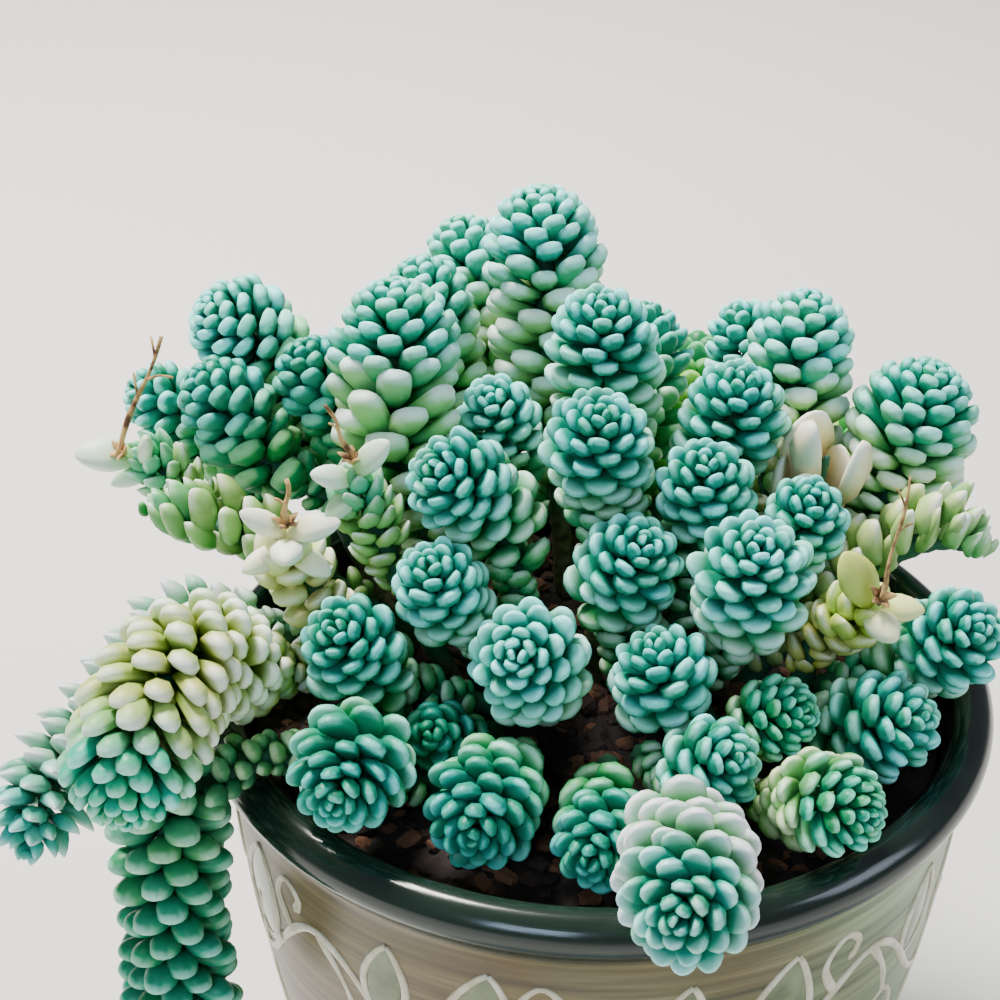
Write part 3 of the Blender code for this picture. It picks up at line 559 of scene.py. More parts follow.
def leafMaterial(name, look):
    # satin wax over flesh that lets some light in, so thin edges glow
    material, tree, shader = newMaterial(name, Roughness=0.42, IOR=1.42, Subsurface_Weight=0.18,
                                         Subsurface_Scale=0.0016, Subsurface_Radius=(0.6, 1.0, 0.5))
    waxLightShadeAndCover, ripe, tone = (addNode(tree, "ShaderNodeAttribute", {"attribute_name": key}).outputs["Fac"]
                       for key in ("waxLightShadeAndCover", "ripe", "tone"))
    # each ramp runs from painted shade at a leaf's foot, through the body, to the wax, which on rims and
    # inner faces is partly painted highlight
    ramps = []
    for three in (looks[look]["colours"][:3], looks[look]["colours"][3:]):
        ramp = addNode(tree, "ShaderNodeValToRGB", inputs={"Fac": waxLightShadeAndCover}, stops=(
            (0.0, three[0]), (0.4, three[1]), (0.95, three[2])))
        ramps.append(ramp.outputs["Color"])
    aged = addNode(tree, "ShaderNodeMix", {"data_type": "RGBA"}, {0: ripe, 6: ramps[0], 7: ramps[1]})
    hue = addNode(tree, "ShaderNodeMapRange", inputs={"Value": tone, "To Min": 0.478, "To Max": 0.516})
    value = addNode(tree, "ShaderNodeMapRange", inputs={"Value": tone, "To Min": 0.9, "To Max": 1.12})
    varied = addNode(tree, "ShaderNodeHueSaturation", inputs={
        "Color": aged.outputs[2], "Hue": hue.outputs[0], "Value": value.outputs[0],
        "Saturation": 1.15})
    tree.links.new(varied.outputs["Color"], shader.inputs["Base Color"])
    # the wax is a little patchy, in spots of about a millimetre
    place = addNode(tree, "ShaderNodeTexCoord").outputs["Object"]
    patches = addNode(tree, "ShaderNodeTexNoise", inputs={
        "Vector": place, "Scale": 900.0, "Detail": 3.0, "Roughness": 0.6})
    satin = addNode(tree, "ShaderNodeMapRange", inputs={
        "Value": patches.outputs["Fac"], "To Min": 0.34, "To Max": 0.54})
    tree.links.new(satin.outputs[0], shader.inputs["Roughness"])
    bump = addNode(tree, "ShaderNodeBump", inputs={
        "Strength": 0.1, "Distance": 0.0002, "Height": patches.outputs["Fac"]})
    tree.links.new(bump.outputs["Normal"], shader.inputs["Normal"])
    return material


# Leafy stems

# how pale each head is painted, where 1 is the rest: thicker wax, and also painted light on heads that
# stand in the light and painted shade on low heads in the shade
waxAndLightOf = {
    "face": 1.28, "crest": 1.1, "crest_left": 1.15, "shoulder": 1.05,
    "upper_mid": 1.15, "far_left": 1.2, "back_right": 1.1, "right_twin": 1.25, "right_top": 0.95,
    "right_front": 1.15, "nook": 1.3, "left_twin": 1.25, "left_mate": 0.85, "tucked_left": 0.75,
    "shade": 0.65, "lip_front": 0.72, "lip_mid": 0.72, "lip_left": 0.8, "left_low": 0.9, "hanging": 0.85,
}

# large bleached leaves: distance back from the tip, the way they point, length, width, thickness
# and how far they have bleached
looseLeaves = {
    "pale_left": ((3, (-1, -0.15, 0.12), 13, 7.2, 4.4, 1.0), (5, (0.2, -0.6, 0.9), 10, 5, 3.4, 0.8),
                  (8, (-0.9, -0.3, -0.3), 10, 4.6, 3.4, 0.9)),
    "pale_lower": ((2, (0.9, -0.3, 0.42), 12.5, 5.6, 4.0, 1.0), (2, (-0.8, -0.2, 0.6), 11, 4.8, 3.6, 1.0),
                   (4, (0.05, -0.9, 0.15), 11, 6.4, 4.6, 1.0), (6, (0.8, -0.6, -0.2), 11, 5, 3.8, 0.9),
                   (6, (-0.75, -0.6, -0.1), 11, 5, 3.8, 0.9)),
    "pale_upper": ((4, (-0.9, -0.4, 0.4), 10, 4.8, 3.6, 1.0), (2, (0.7, -0.2, 0.8), 11, 5.4, 3.6, 0.9),
                   (6, (-0.5, -0.7, -0.2), 10, 4.6, 3.6, 0.7)),
    "pale_right": ((3, (-0.5, 0.1, 0.9), 12.5, 7.6, 4.6, 0.3), (5, (0.35, -0.85, -0.1), 10.5, 6, 5, 1.0),
                   (4, (0.9, -0.3, 0.1), 10.5, 5.4, 4, 0.7)),
}

leafShape = {
    # the mesh of a leaf: points round it, rings on its shank and degrees of turn on its blunt end
    "around": 8, "shank": (0.05, 0.38, 0.74), "endTurns": (8, 30, 50, 67, 81), "boxy": 0.88,
    "footWidth": 0.48,
    # the youngest leaves at the tip, as shares of grown ones, and how far down they last
    "youngest": 0.23, "youngPlump": 0.8, "youngWidth": 0.3, "youngOver": 9.0, "closing": 0.34,
    "closingOver": 2.5,
    # how leaves stand: lean, bow, depth of their feet, and how far their tips keep in
    "outerShare": 0.72, "length": 1.85, "leanOver": 9.0, "belly": 0.07, "core": 2.4, "coreShare": 0.25,
    "inset": 0.05, "bendProbe": 1.5, "bendSizes": (0.75, 1.25),
    # what differs between neighbours
    "turnSpread": 0.04, "lengths": (0.95, 1.05), "leanSpread": 4.0, "uneven": 0.06, "tips": (-1.6, 1),
    "widths": (0.92, 1.06), "depths": (0.94, 1.06), "blooms": (0.88, 1.1), "ripeSpread": 0.08,
    # the last leaves, thinning out down the bare stalk
    "last": 3.0, "skirt": 24.0, "skirtLeast": 3.8, "skirtFall": 0.55, "skirtOver": 12.0,
    "skirtWide": 7.0, "skirtSmall": 0.68, "skirtLean": 0.72, "skirtClear": 3.0,
}

# wax along a leaf, with painted light in it: none at the foot, where the first colour is painted shade; a
# film, more of it on the end, most on its edges, its inner face and its tip, where it is partly painted
# highlight
waxAndLightShape = {
    "filmFrom": 0.1, "filmOver": 0.6, "film": 0.24, "endFrom": 0.6, "endOver": 0.36, "end": 0.12,
    "rim": 0.58, "inner": 0.6, "tipFrom": 0.88, "tipOver": 0.12, "tip": 0.8, "youngLess": 0.2,
}

looseShape = {
    "end": 1.7, "widest": 0.5, "face": (0.0, -0.55, 0.84), "bow": 0.08, "outerShare": 0.6,
    "film": 0.25, "filmEnd": 0.5, "endOver": 0.7, "rim": 0.2, "foot": 0.2, "tip": 0.9,
    "ripe": 0.6, "tone": 0.5,
}


def leafRings(end, widest):
    # places along the leaf and widths there: a sine swell, then a superellipse's blunt end
    swell = np.array(leafShape["shank"]) * widest
    turn = np.radians(leafShape["endTurns"])
    u = np.concatenate([swell, widest + (1 - widest) * np.sin(turn)**(2 / end)])
    foot = leafShape["footWidth"]
    shank = foot + (1 - foot) * np.sin(np.pi / 2 * swell / widest)
    width = np.concatenate([shank, np.cos(turn)**(2 / end)])
    return u, width


def leafTubes(foot, middle, tip, side, half, deepOut, deepIn, look):
    # leaves as closed tubes along quadratic curves, boxy in section and deeper on the outer side
    u, outline = leafRings(look["end"], look["widest"])
    u, outline = u[:, None], outline[:, None, None]
    foot, middle, tip, side = (values[:, None, :] for values in (foot, middle, tip, side))
    line = foot * (1 - u)**2 + 2 * middle * u * (1 - u) + tip * u**2
    ahead = (middle - foot) * (1 - u) + (tip - middle) * u
    outer = np.cross(side, ahead)
    outer /= np.linalg.norm(outer, axis=-1)[..., None]
    v = 2 * np.pi * (np.arange(leafShape["around"]) + 0.5) / leafShape["around"]
    cos = np.sign(np.cos(v)) * np.abs(np.cos(v))**leafShape["boxy"]
    sin = np.sign(np.sin(v)) * np.abs(np.sin(v))**leafShape["boxy"]
    deep = np.where(sin > 0, deepOut[:, None], deepIn[:, None]) * sin
    wide = half[:, None] * cos / np.abs(cos).max()
    body = line[:, :, None, :] + outline * (
        wide[:, None, :, None] * side[:, :, None, :] + deep[:, None, :, None] * outer[:, :, None, :])
    return np.concatenate([body.reshape(len(body), -1, 3), foot, tip], 1), u[:, 0], cos, sin


def leafTips(line, look, rng):
    # leaves sit a golden angle apart, as dense on the dome and stem as their growing size allows
    dome = layout["domeLength"] * line.girth
    end = max(line.leafy - leafShape["last"], dome + 1.0)
    phi = np.linspace(0, np.pi / 2, 60)
    straight = np.arange(0.5, end + line.skirt - dome, 0.5)
    back = np.concatenate([dome * (1 - np.cos(phi)), dome + straight])
    wide = np.concatenate([line.girth * np.sin(phi), np.full(len(straight), line.girth)])
    run = np.concatenate([[0.0], np.cumsum(np.hypot(np.diff(back), np.diff(wide)))])
    out = wide * np.interp(np.minimum(back, end), line.shareStops, line.share)
    # below the head the leaves thin out down the stalk, as far as there is room for them
    past = back > end
    fallen = out * (1 - leafShape["skirtFall"] * smooth((back - end) / leafShape["skirtOver"]))
    out = np.where(past, np.minimum(fallen, np.interp(back, line.shareStops, line.spare)), out)
    young = look.get("youngest", leafShape["youngest"])
    grown = young + (1 - young) * (1 - np.exp(-run / look["growth"]))
    small = np.clip(out / leafShape["skirtWide"], leafShape["skirtSmall"], 1)
    size = look["spacing"] * grown * np.where(past, small, 1)
    density = 2 * np.pi * np.maximum(out, 0.5) / size**2
    density[past & (out < leafShape["skirtLeast"])] = 0
    number = np.concatenate([[0.0], np.cumsum((density[1:] + density[:-1]) / 2 * np.diff(run))])
    order = np.arange(int(number[-1])) + 0.5
    picked = [np.interp(order, number, values) for values in (back, out, size, run)]
    turn = order * goldenAngle + rng.uniform(0, 2 * np.pi)
    turn = turn + rng.normal(0, leafShape["turnSpread"], len(order))
    return (*picked, turn)


def leafWaxAndLight(u, across, deep):
    # S curves along the leaf for the film and the end, and the cube of the place across for the rim,
    # which is partly painted highlight; the low values at the foot give painted shade
    edge = np.clip(np.abs(across)**3 + waxAndLightShape["inner"] * (deep < -0.1), 0, 1)
    tip = smooth((u - waxAndLightShape["tipFrom"]) / waxAndLightShape["tipOver"])[:, None]
    rim = np.maximum(edge[None, :], tip)
    film = waxAndLightShape["film"] * smooth((u - waxAndLightShape["filmFrom"]) / waxAndLightShape["filmOver"])[:, None]
    end = smooth((u - waxAndLightShape["endFrom"]) / waxAndLightShape["endOver"])[:, None]
    film = film + end * (waxAndLightShape["end"] + waxAndLightShape["rim"] * rim)
    return np.concatenate([film.ravel(), [0.0, waxAndLightShape["tip"]]])


def stemLeaves(line, look, waxAndLight, rng):
    # every leaf is laid out rigidly in the stem's frame at its tip, so bends don't distort it
    tipBack, tipOut, size, run, turn = leafTips(line, look, rng)
    count = len(turn)
    place, across, side, way = line.frames(tipBack)
    cos, sin = np.cos(turn)[:, None], np.sin(turn)[:, None]
    outwards = cos * across + sin * side
    sideways = cos * side - sin * across
    # on the outside of a bend leaves stand wider apart and are larger, and inside it smaller
    probe = leafShape["bendProbe"]
    placeOn, acrossOn, sideOn, _ = line.frames(tipBack + probe)
    apart = placeOn - place + tipOut[:, None] * (cos * acrossOn + sin * sideOn - outwards)
    stretch = np.linalg.norm(apart, axis=1) / probe
    size = size * np.sqrt(np.clip(stretch, *leafShape["bendSizes"]))
    young = np.exp(-run / leafShape["youngOver"])
    length = look.get("length", leafShape["length"]) * size * rng.uniform(*leafShape["lengths"], count)
    lean = look["lean"] * (1 - np.exp(-run / leafShape["leanOver"]))
    lean = np.radians(lean + rng.normal(0, leafShape["leanSpread"], count))
    tipAt = np.maximum(tipOut - leafShape["inset"] * size * np.sin(lean), 0.5 * tipOut)
    tipAt = tipAt * (1 + leafShape["uneven"] * (1 - young) * rng.uniform(*leafShape["tips"], count))
    # the very youngest close over the middle
    tipAt = tipAt * (1 - leafShape["closing"] * np.exp(-run / leafShape["closingOver"]))
    # the leaves down a bare stalk lie closer to it
    lean = np.where(tipBack > line.leafy, leafShape["skirtLean"] * lean, lean)
    room = tipAt - np.minimum(leafShape["core"], leafShape["coreShare"] * tipAt)
    length = np.minimum(length, room / np.sin(np.maximum(lean, 0.02)))
    outGo, backGo = length * np.sin(lean), length * np.cos(lean)
    belly = leafShape["belly"]
    tip = place + tipAt[:, None] * outwards
    foot = tip - outGo[:, None] * outwards - backGo[:, None] * way
    middle = (foot + tip) / 2 + belly * (backGo[:, None] * outwards - outGo[:, None] * way)
    # some stems' leaves turn up towards the light: the tip swings up and the leaf keeps its length
    risen = tip - foot + look.get("rise", 0.0) * length[:, None] * np.array([0.0, 0.0, 1.0])
    risen = foot + risen * (length / np.linalg.norm(risen, axis=1))[:, None]
    middle = middle + (risen - tip) / 2
    tip = risen
    half = 0.5 * look["width"] * size * rng.uniform(*leafShape["widths"], count)
    half = half * (1 + leafShape["youngWidth"] * young)
    plump = look["plump"] + (leafShape["youngPlump"] - look["plump"]) * young
    thick = plump * 2 * half * rng.uniform(*leafShape["depths"], count)
    share = leafShape["outerShare"]
    points, u, across, deep = leafTubes(foot, middle, tip, sideways, half, share * thick,
                                        (1 - share) * thick, look)
    # each head's wax and painted light, varied a little from leaf to leaf and less on young leaves
    each = waxAndLight * rng.uniform(*leafShape["blooms"], count) * (1 - waxAndLightShape["youngLess"] * young)
    waxLightShadeAndCover = leafWaxAndLight(u, across, deep)[None] * each[:, None]
    ripe = smooth((tipBack - look["ripeFrom"]) / look["ripeOver"])
    ripe = np.clip(ripe + rng.normal(0, leafShape["ripeSpread"], count), 0, 1)
    return points, waxLightShadeAndCover, ripe, rng.uniform(0, 1, count)


def looseLeaf(line, back, way, length, wide, thick, bleached):
    # one large leaf from the stem's middle, slightly bowed, its broad face to the front and upwards
    place = line.frames(np.array([back], float))[0]
    way = np.array([way]) / np.linalg.norm(way)
    side = np.cross(looseShape["face"], way)
    side /= np.linalg.norm(side)
    bow = np.cross(side, way) * looseShape["bow"] * length
    share = looseShape["outerShare"]
    points, u, across, _ = leafTubes(
        place, place + way * length / 2 - bow, place + way * length, side,
        np.array([wide / 2]), np.array([thick * share]), np.array([thick * (1 - share)]), looseShape)
    # wax thickening to the end, and paler edges that are partly painted highlight
    film = looseShape["film"] + looseShape["filmEnd"] * smooth(u / looseShape["endOver"])[:, None]
    film = film + looseShape["rim"] * np.abs(across)[None, :]**3
    waxLightShadeAndCover = bleached * np.concatenate([film.ravel(), [looseShape["foot"], looseShape["tip"]]])[None]
    return points, waxLightShadeAndCover, np.array([looseShape["ripe"]]), np.array([looseShape["tone"]])


stalk = {
    "around": 8, "topBack": 7.0, "rootBack": 0.2, "step": 1.6, "bareOver": 8.0, "slim": 0.95,
    "taperFrom": 4.0, "taperOver": 16.0, "thinnest": 0.2, "scars": 0.09, "ridges": 0.07,
    "skin": ((0.35, "#3C3A22"), (0.7, "#86805A")), "green": "#1C5A3E",
}


def stalkMaterial():
    # a papery skin, green where leaves still cover it and brown with pale flecks where it is bare
    material, tree, shader = newMaterial("bareSedumStalk", Roughness=0.7)
    place = addNode(tree, "ShaderNodeTexCoord").outputs["Object"]
    grain = addNode(tree, "ShaderNodeTexNoise", inputs={"Vector": place, "Scale": 420.0, "Detail": 4.0})
    ramp = addNode(tree, "ShaderNodeValToRGB", inputs={"Fac": grain.outputs["Fac"]},
                   stops=stalk["skin"])
    covered = addNode(tree, "ShaderNodeAttribute", {"attribute_name": "waxLightShadeAndCover"}).outputs["Fac"]
    mixed = addNode(tree, "ShaderNodeMix", {"data_type": "RGBA"}, {
        0: covered, 6: ramp.outputs["Color"], 7: linear(stalk["green"])})
    tree.links.new(mixed.outputs[2], shader.inputs["Base Color"])
    bump = addNode(tree, "ShaderNodeBump", inputs={
        "Strength": 0.5, "Distance": 0.0004, "Height": grain.outputs["Fac"]})
    tree.links.new(bump.outputs["Normal"], shader.inputs["Normal"])
    return material


def stalkTube(line):
    # a tube along the stem's line from its root to under the tip: its radius tapers, swells in a
    # sine at the leaf scars, and has three low ridges that wind round it
    around = stalk["around"]
    back = np.arange(line.back[0] - stalk["rootBack"], stalk["topBack"], -stalk["step"])
    bare = smooth((back - line.leafy - line.skirt) / stalk["bareOver"])
    thick = leafShape["core"] * (1 - bare) + layout["stalkRadius"] * bare * stalk["slim"]
    taper = np.clip((back - stalk["taperFrom"]) / stalk["taperOver"], stalk["thinnest"], 1)
    thick = thick * taper * (1 + stalk["scars"] * np.sin(back * 2.1))
    place, across, side, _ = line.frames(back)
    v = 2 * np.pi * np.arange(around) / around
    out = thick[:, None] * (1 + stalk["ridges"] * np.cos(3 * v + 1.7 * back[:, None]))
    covered = np.concatenate([np.repeat(1 - bare, around), [0, 1]])
    return tubeBody(place, across, side, out, v), covered, tubeFaces(len(back), around)


def leafyStem(name, line, look, materials):
    # one piece for each stem: all its leaves, any large bleached ones, and its stalk
    rng = np.random.default_rng(sum(name.encode()) * 7)
    points, waxLightShadeAndCover, ripe, tone = stemLeaves(line, look, waxAndLightOf.get(name, 1.0), rng)
    for row in looseLeaves.get(name, ()):
        both = zip((points, waxLightShadeAndCover, ripe, tone), looseLeaf(line, *row))
        points, waxLightShadeAndCover, ripe, tone = (np.concatenate(pair) for pair in both)
    count, each = points.shape[:2]
    quads, triangles = tubeFaces(each // leafShape["around"], leafShape["around"])
    shift = (np.arange(count) * each)[:, None, None]
    tube, covered, (stalkQuads, stalkTriangles) = stalkTube(line)
    allQuads = np.concatenate([(quads + shift).reshape(-1, 4), stalkQuads + count * each])
    allTriangles = np.concatenate([(triangles + shift).reshape(-1, 3), stalkTriangles + count * each])
    ofStalk = np.concatenate([
        np.zeros(len(quads) * count), np.ones(len(stalkQuads)),
        np.zeros(len(triangles) * count), np.ones(len(stalkTriangles))])
    zeros = np.zeros(len(tube))
    # the leaves' wax with painted highlight and painted shade, and on the stalk how far leaves cover it
    attributes = {"waxLightShadeAndCover": np.concatenate([waxLightShadeAndCover.ravel(), covered]),
                  "ripe": np.concatenate([np.repeat(ripe, each), zeros]),
                  "tone": np.concatenate([np.repeat(tone, each), zeros])}
    piece = newMesh("leaves_" + name, np.concatenate([points.reshape(-1, 3), tube]), allQuads,
                    allTriangles, materials, ofStalk, attributes)
    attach(piece, "root")
    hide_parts("stem_" + name)
    return count


leafMaterials = {key: leafMaterial("waxySedumLeaf_" + key, key) for key in looks}
bareStalk = stalkMaterial()
lookOf = {name: row[-1] for name, row in (*heads.items(), *trails.items())}
total = 0
for name, line in stemLines.items():
    bareLength = max(line.length - line.leafy - leafShape["skirtClear"], 0)
    line.skirt = bareLength if name in trails else min(bareLength, leafShape["skirt"])
    total += leafyStem(name, line, looks[lookOf[name]], [leafMaterials[lookOf[name]], bareStalk])
print("leaves:", total)


# Glazed pot: a turned form with a rolled lip, five small drains, and trailed slip in relief

pot = {
    # pairs of radius and height, from the foot up the outside and from the lip down inside
    "foot": ((55.6, 0.0), (56.3, 0.1), (57.2, 0.75), (57.8, 1.6)),
    "outside": ((58.0, 2.0), (66.5, 45.0), (73.0, 85.0), (75.5, 112.0)), "outerStep": 3.0,
    "inside": ((70.0, 114.0), (67.5, 85.0), (61.0, 45.0), (52.5, 7.0)), "innerStep": 4.0,
    "floor": ((51.6, 6.7), (50.0, 6.5)),
    "lipCentre": (75.5, 120.5), "lipRoll": 4.5, "lipFrom": -65, "lipTo": 150, "lipPoints": 22,
    "around": 160, "drains": 5, "drainRadius": 2.6, "drainCircle": 30.0, "drainAround": 24,
    "drainFrom": -3.0, "drainTo": 12.0,
    # colours of the glaze as stops of ramps: tan, the greener side and the dark lip, tinted blue-green as
    # a painted reflection; and bare clay
    "tan": ((0.28, "#3A2F1A"), (0.5, "#645330"), (0.74, "#8C7A4E")),
    "celadon": ((0.3, "#5A7048"), (0.72, "#9AB486")),
    "dark": ((0.35, "#0A1213"), (0.65, "#1C2A22")), "clay": "#A98B69",
}


def flatCurve(places, step):
    # a Catmull-Rom curve through pairs, such as radius and height
    flat = np.array([(first, 0.0, second) for first, second in places], float)
    return curveThrough(flat, step)[:, (0, 2)]


outerWall = flatCurve(pot["outside"], pot["outerStep"])
innerWall = flatCurve(pot["inside"], pot["innerStep"])


def potOutline():
    # the wall's section from the foot, up the outside, round the lip's arc and down inside
    angles = np.radians(np.linspace(pot["lipFrom"], pot["lipTo"], pot["lipPoints"]))
    roll = np.stack([np.cos(angles), np.sin(angles)], 1) * pot["lipRoll"] + pot["lipCentre"]
    return np.concatenate([pot["foot"], outerWall, roll, innerWall, pot["floor"]])


def turned(name, outline, around, materials):
    # a closed solid of revolution from radius and height pairs, capped at the axis at both ends
    v = -2 * np.pi * np.arange(around) / around
    circle = np.stack([np.cos(v), np.sin(v), np.zeros(around)], -1)
    body = outline[:, 0][:, None, None] * circle
    body[..., 2] = outline[:, 1][:, None]
    poles = np.array([(0, 0, outline[0, 1]), (0, 0, outline[-1, 1])])
    points = np.concatenate([body.reshape(-1, 3), poles])
    quads, triangles = tubeFaces(len(outline), around)
    return newMesh(name, points, quads, triangles, materials)


def glazeMaterial():
    # glossy reduction glaze over stoneware: tan, brushed round, greener to one side, dark on the lip with
    # a blue tint that is a painted reflection
    material, tree, shader = newMaterial("glossyStonewareGlaze", Roughness=0.16, IOR=1.52)
    place = addNode(tree, "ShaderNodeTexCoord").outputs["Object"]
    stretched = addNode(tree, "ShaderNodeMapping", inputs={"Vector": place, "Scale": (14.0, 14.0, 420.0)})
    streaks = addNode(tree, "ShaderNodeTexNoise", inputs={
        "Vector": stretched.outputs[0], "Scale": 1.0, "Detail": 5.0, "Roughness": 0.6})
    tan = addNode(tree, "ShaderNodeValToRGB", inputs={"Fac": streaks.outputs["Fac"]},
                  stops=pot["tan"])
    clouds = addNode(tree, "ShaderNodeTexNoise", inputs={"Vector": place, "Scale": 16.0, "Detail": 2.0})
    axes = addNode(tree, "ShaderNodeSeparateXYZ", inputs={"Vector": place})
    drift = addNode(tree, "ShaderNodeMath", {"operation": "MULTIPLY_ADD"}, {
        0: axes.outputs["X"], 1: 7.0, 2: clouds.outputs["Fac"]})
    greener = addNode(tree, "ShaderNodeMapRange", {"interpolation_type": "SMOOTHSTEP"}, {
        "Value": drift.outputs[0], "From Min": 0.5, "From Max": 0.95})
    celadon = addNode(tree, "ShaderNodeValToRGB", inputs={"Fac": streaks.outputs["Fac"]},
                      stops=pot["celadon"])
    wall = addNode(tree, "ShaderNodeMix", {"data_type": "RGBA"}, {
        0: greener.outputs[0], 6: tan.outputs["Color"], 7: celadon.outputs["Color"]})
    # the dark glaze of the lip and the inside stops unevenly just below the roll
    edge = addNode(tree, "ShaderNodeMath", {"operation": "MULTIPLY_ADD"}, {
        0: clouds.outputs["Fac"], 1: 0.006, 2: axes.outputs["Z"]})
    onLip = addNode(tree, "ShaderNodeMapRange", {"interpolation_type": "SMOOTHSTEP"}, {
        "Value": edge.outputs[0], "From Min": 0.1165, "From Max": 0.1195})
    out = addNode(tree, "ShaderNodeVectorMath", {"operation": "MULTIPLY"}, {0: place, 1: (1.0, 1.0, 0.0)})
    radius = addNode(tree, "ShaderNodeVectorMath", {"operation": "LENGTH"}, {0: out.outputs[0]})
    inside = addNode(tree, "ShaderNodeMath", {"operation": "MULTIPLY_ADD"}, {
        0: axes.outputs["Z"], 1: -0.155, 2: radius.outputs["Value"]})
    isInside = addNode(tree, "ShaderNodeMath", {"operation": "LESS_THAN"}, {
        0: inside.outputs[0], 1: 0.0545})
    dark = addNode(tree, "ShaderNodeMath", {"operation": "MAXIMUM"}, {
        0: onLip.outputs[0], 1: isInside.outputs[0]})
    # the dark lip glaze, its blue tint a painted reflection
    rim = addNode(tree, "ShaderNodeValToRGB", inputs={"Fac": clouds.outputs["Fac"]},
                  stops=pot["dark"])
    glazed = addNode(tree, "ShaderNodeMix", {"data_type": "RGBA"}, {
        0: dark.outputs[0], 6: wall.outputs[2], 7: rim.outputs["Color"]})
    # the foot is wiped free of glaze up to about two millimetres
    bare = addNode(tree, "ShaderNodeMapRange", inputs={
        "Value": axes.outputs["Z"], "From Min": 0.0012, "From Max": 0.0022, "To Min": 1.0, "To Max": 0.0})
    coloured = addNode(tree, "ShaderNodeMix", {"data_type": "RGBA"}, {
        0: bare.outputs[0], 6: glazed.outputs[2], 7: linear(pot["clay"])})
    tree.links.new(coloured.outputs[2], shader.inputs["Base Color"])
    sheen = addNode(tree, "ShaderNodeMapRange", inputs={
        "Value": dark.outputs[0], "To Min": 0.36, "To Max": 0.17})
    gloss = addNode(tree, "ShaderNodeMath", {"operation": "MAXIMUM"}, {
        0: bare.outputs[0], 1: sheen.outputs[0]})
    tree.links.new(gloss.outputs[0], shader.inputs["Roughness"])
    bump = addNode(tree, "ShaderNodeBump", inputs={
        "Strength": 0.22, "Distance": 0.0006, "Height": streaks.outputs["Fac"]})
    tree.links.new(bump.outputs["Normal"], shader.inputs["Normal"])
    return material


def cutDrains(piece):
    # five plain round holes through the floor
    cutters = []
    outline = np.array([(pot["drainRadius"], pot["drainFrom"]), (pot["drainRadius"], pot["drainTo"])])
    for k in range(pot["drains"]):
        angle = 2 * math.pi * (k + 0.5) / pot["drains"]
        centre = np.array([math.cos(angle), math.sin(angle)]) * pot["drainCircle"]
        cutter = turned("drainCutter", outline, pot["drainAround"], [])
        cutter.data.transform(Matrix.Translation((centre[0] * mm, centre[1] * mm, 0)))
        cutters.append(cutter)
    for cutter in cutters:
        cut = piece.modifiers.new("drain", "BOOLEAN")
        cut.object = cutter
        cut.solver = "EXACT"
    done = bpy.data.meshes.new_from_object(piece.evaluated_get(bpy.context.evaluated_depsgraph_get()))
    piece.modifiers.clear()
    piece.data = done
    for cutter in cutters:
        bpy.data.objects.remove(cutter)


potPiece = turned("glazedPot", potOutline(), pot["around"], [glazeMaterial()])
cutDrains(potPiece)
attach(potPiece, "root")
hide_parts("pot")
print("pot turned")


# Trailed slip: a plain running vine with leaves, raised on the wall, thick and thin like icing

vine = {
    "motifs": 8, "half": 0.95, "proud": 0.55, "sunk": 0.35, "around": 8, "budHalf": 7.0, "fill": 0.28,
    "turn": 0.2, "wave": 12.0, "waveAt": 86.0, "wander": 0.6, "overlap": 0.02, "lineStep": 1.5,
    "overFill": 0.05, "seed": 11,
    # the glaze on the slip and in the leaves: where it ran thin and where it is thick
    "slip": ("#C4BA98", "#E2DAC2"), "pool": ("#5D6846", "#828C68"),
    # one motif: shoots and tendrils as places across and up the wall, then leaves: foot, end, size
    "lines": (((-15, 98), (-9, 90), (-5, 80)), ((15, 74), (18, 84), (21, 92)),
              ((15, 74), (11, 62), (15, 46), (8, 28), (12, 12)),
              ((12, 50), (2, 54), (-5, 48), (-3, 42), (1, 44)),
              ((-24, 92), (-28, 100), (-24, 106), (-20, 103), (-22, 99))),
    "leaves": (((-5, 81), (-8, 55), 0.9), ((20, 80), (25, 107), 1.0), ((1, 86), (4, 106), 0.7),
               ((14, 47), (27, 32), 0.7), ((9, 30), (-6, 22), 0.6)),
}

widestRadius = pot["outside"][-1][0]
motifPitch = 2 * math.pi * widestRadius / vine["motifs"]


def wallAt(across, height, proud):
    # a place on the pot's outer wall, across measured round it at its widest, pushed out by proud
    radius = np.interp(height, outerWall[:, 1], outerWall[:, 0]) + proud
    angle = across / widestRadius - math.pi / 2
    return np.stack([radius * np.cos(angle), radius * np.sin(angle), height], -1)


def slipBody(path, half, proud, sunk):
    # an oval rib along a path on the wall: half an ellipse stands out of the glaze, and a shallow
    # half is sunk in it
    ahead = np.gradient(path, axis=0)
    ahead /= np.linalg.norm(ahead, axis=1)[:, None]
    v = 2 * np.pi * np.arange(vine["around"]) / vine["around"]
    wide = half[:, None] * np.cos(v)
    across = path[:, 0][:, None] + ahead[:, 1][:, None] * wide
    height = path[:, 1][:, None] - ahead[:, 0][:, None] * wide
    full = np.minimum(half / half.max(), 1)[:, None]
    rise = np.where(np.sin(v) > 0, proud * full, sunk) * np.sin(v)
    body = wallAt(across, height, rise)
    ends = wallAt(path[[0, -1], 0], path[[0, -1], 1], np.zeros(2))
    return np.concatenate([body.reshape(-1, 3), ends]), tubeFaces(len(path), vine["around"])


def budOutline(foot, end, size):
    # a pointed oval between two places: its half width is sin(pi t) sharpened towards the end
    foot, end = np.array(foot, float), np.array(end, float)
    t = np.linspace(0, 1, 24)
    half = size * vine["budHalf"] * np.sin(np.pi * t**0.8)**0.8
    ahead = (end - foot) / np.linalg.norm(end - foot)
    sideways = np.array([ahead[1], -ahead[0]])
    middle = foot + t[:, None] * (end - foot)
    return middle, half, sideways


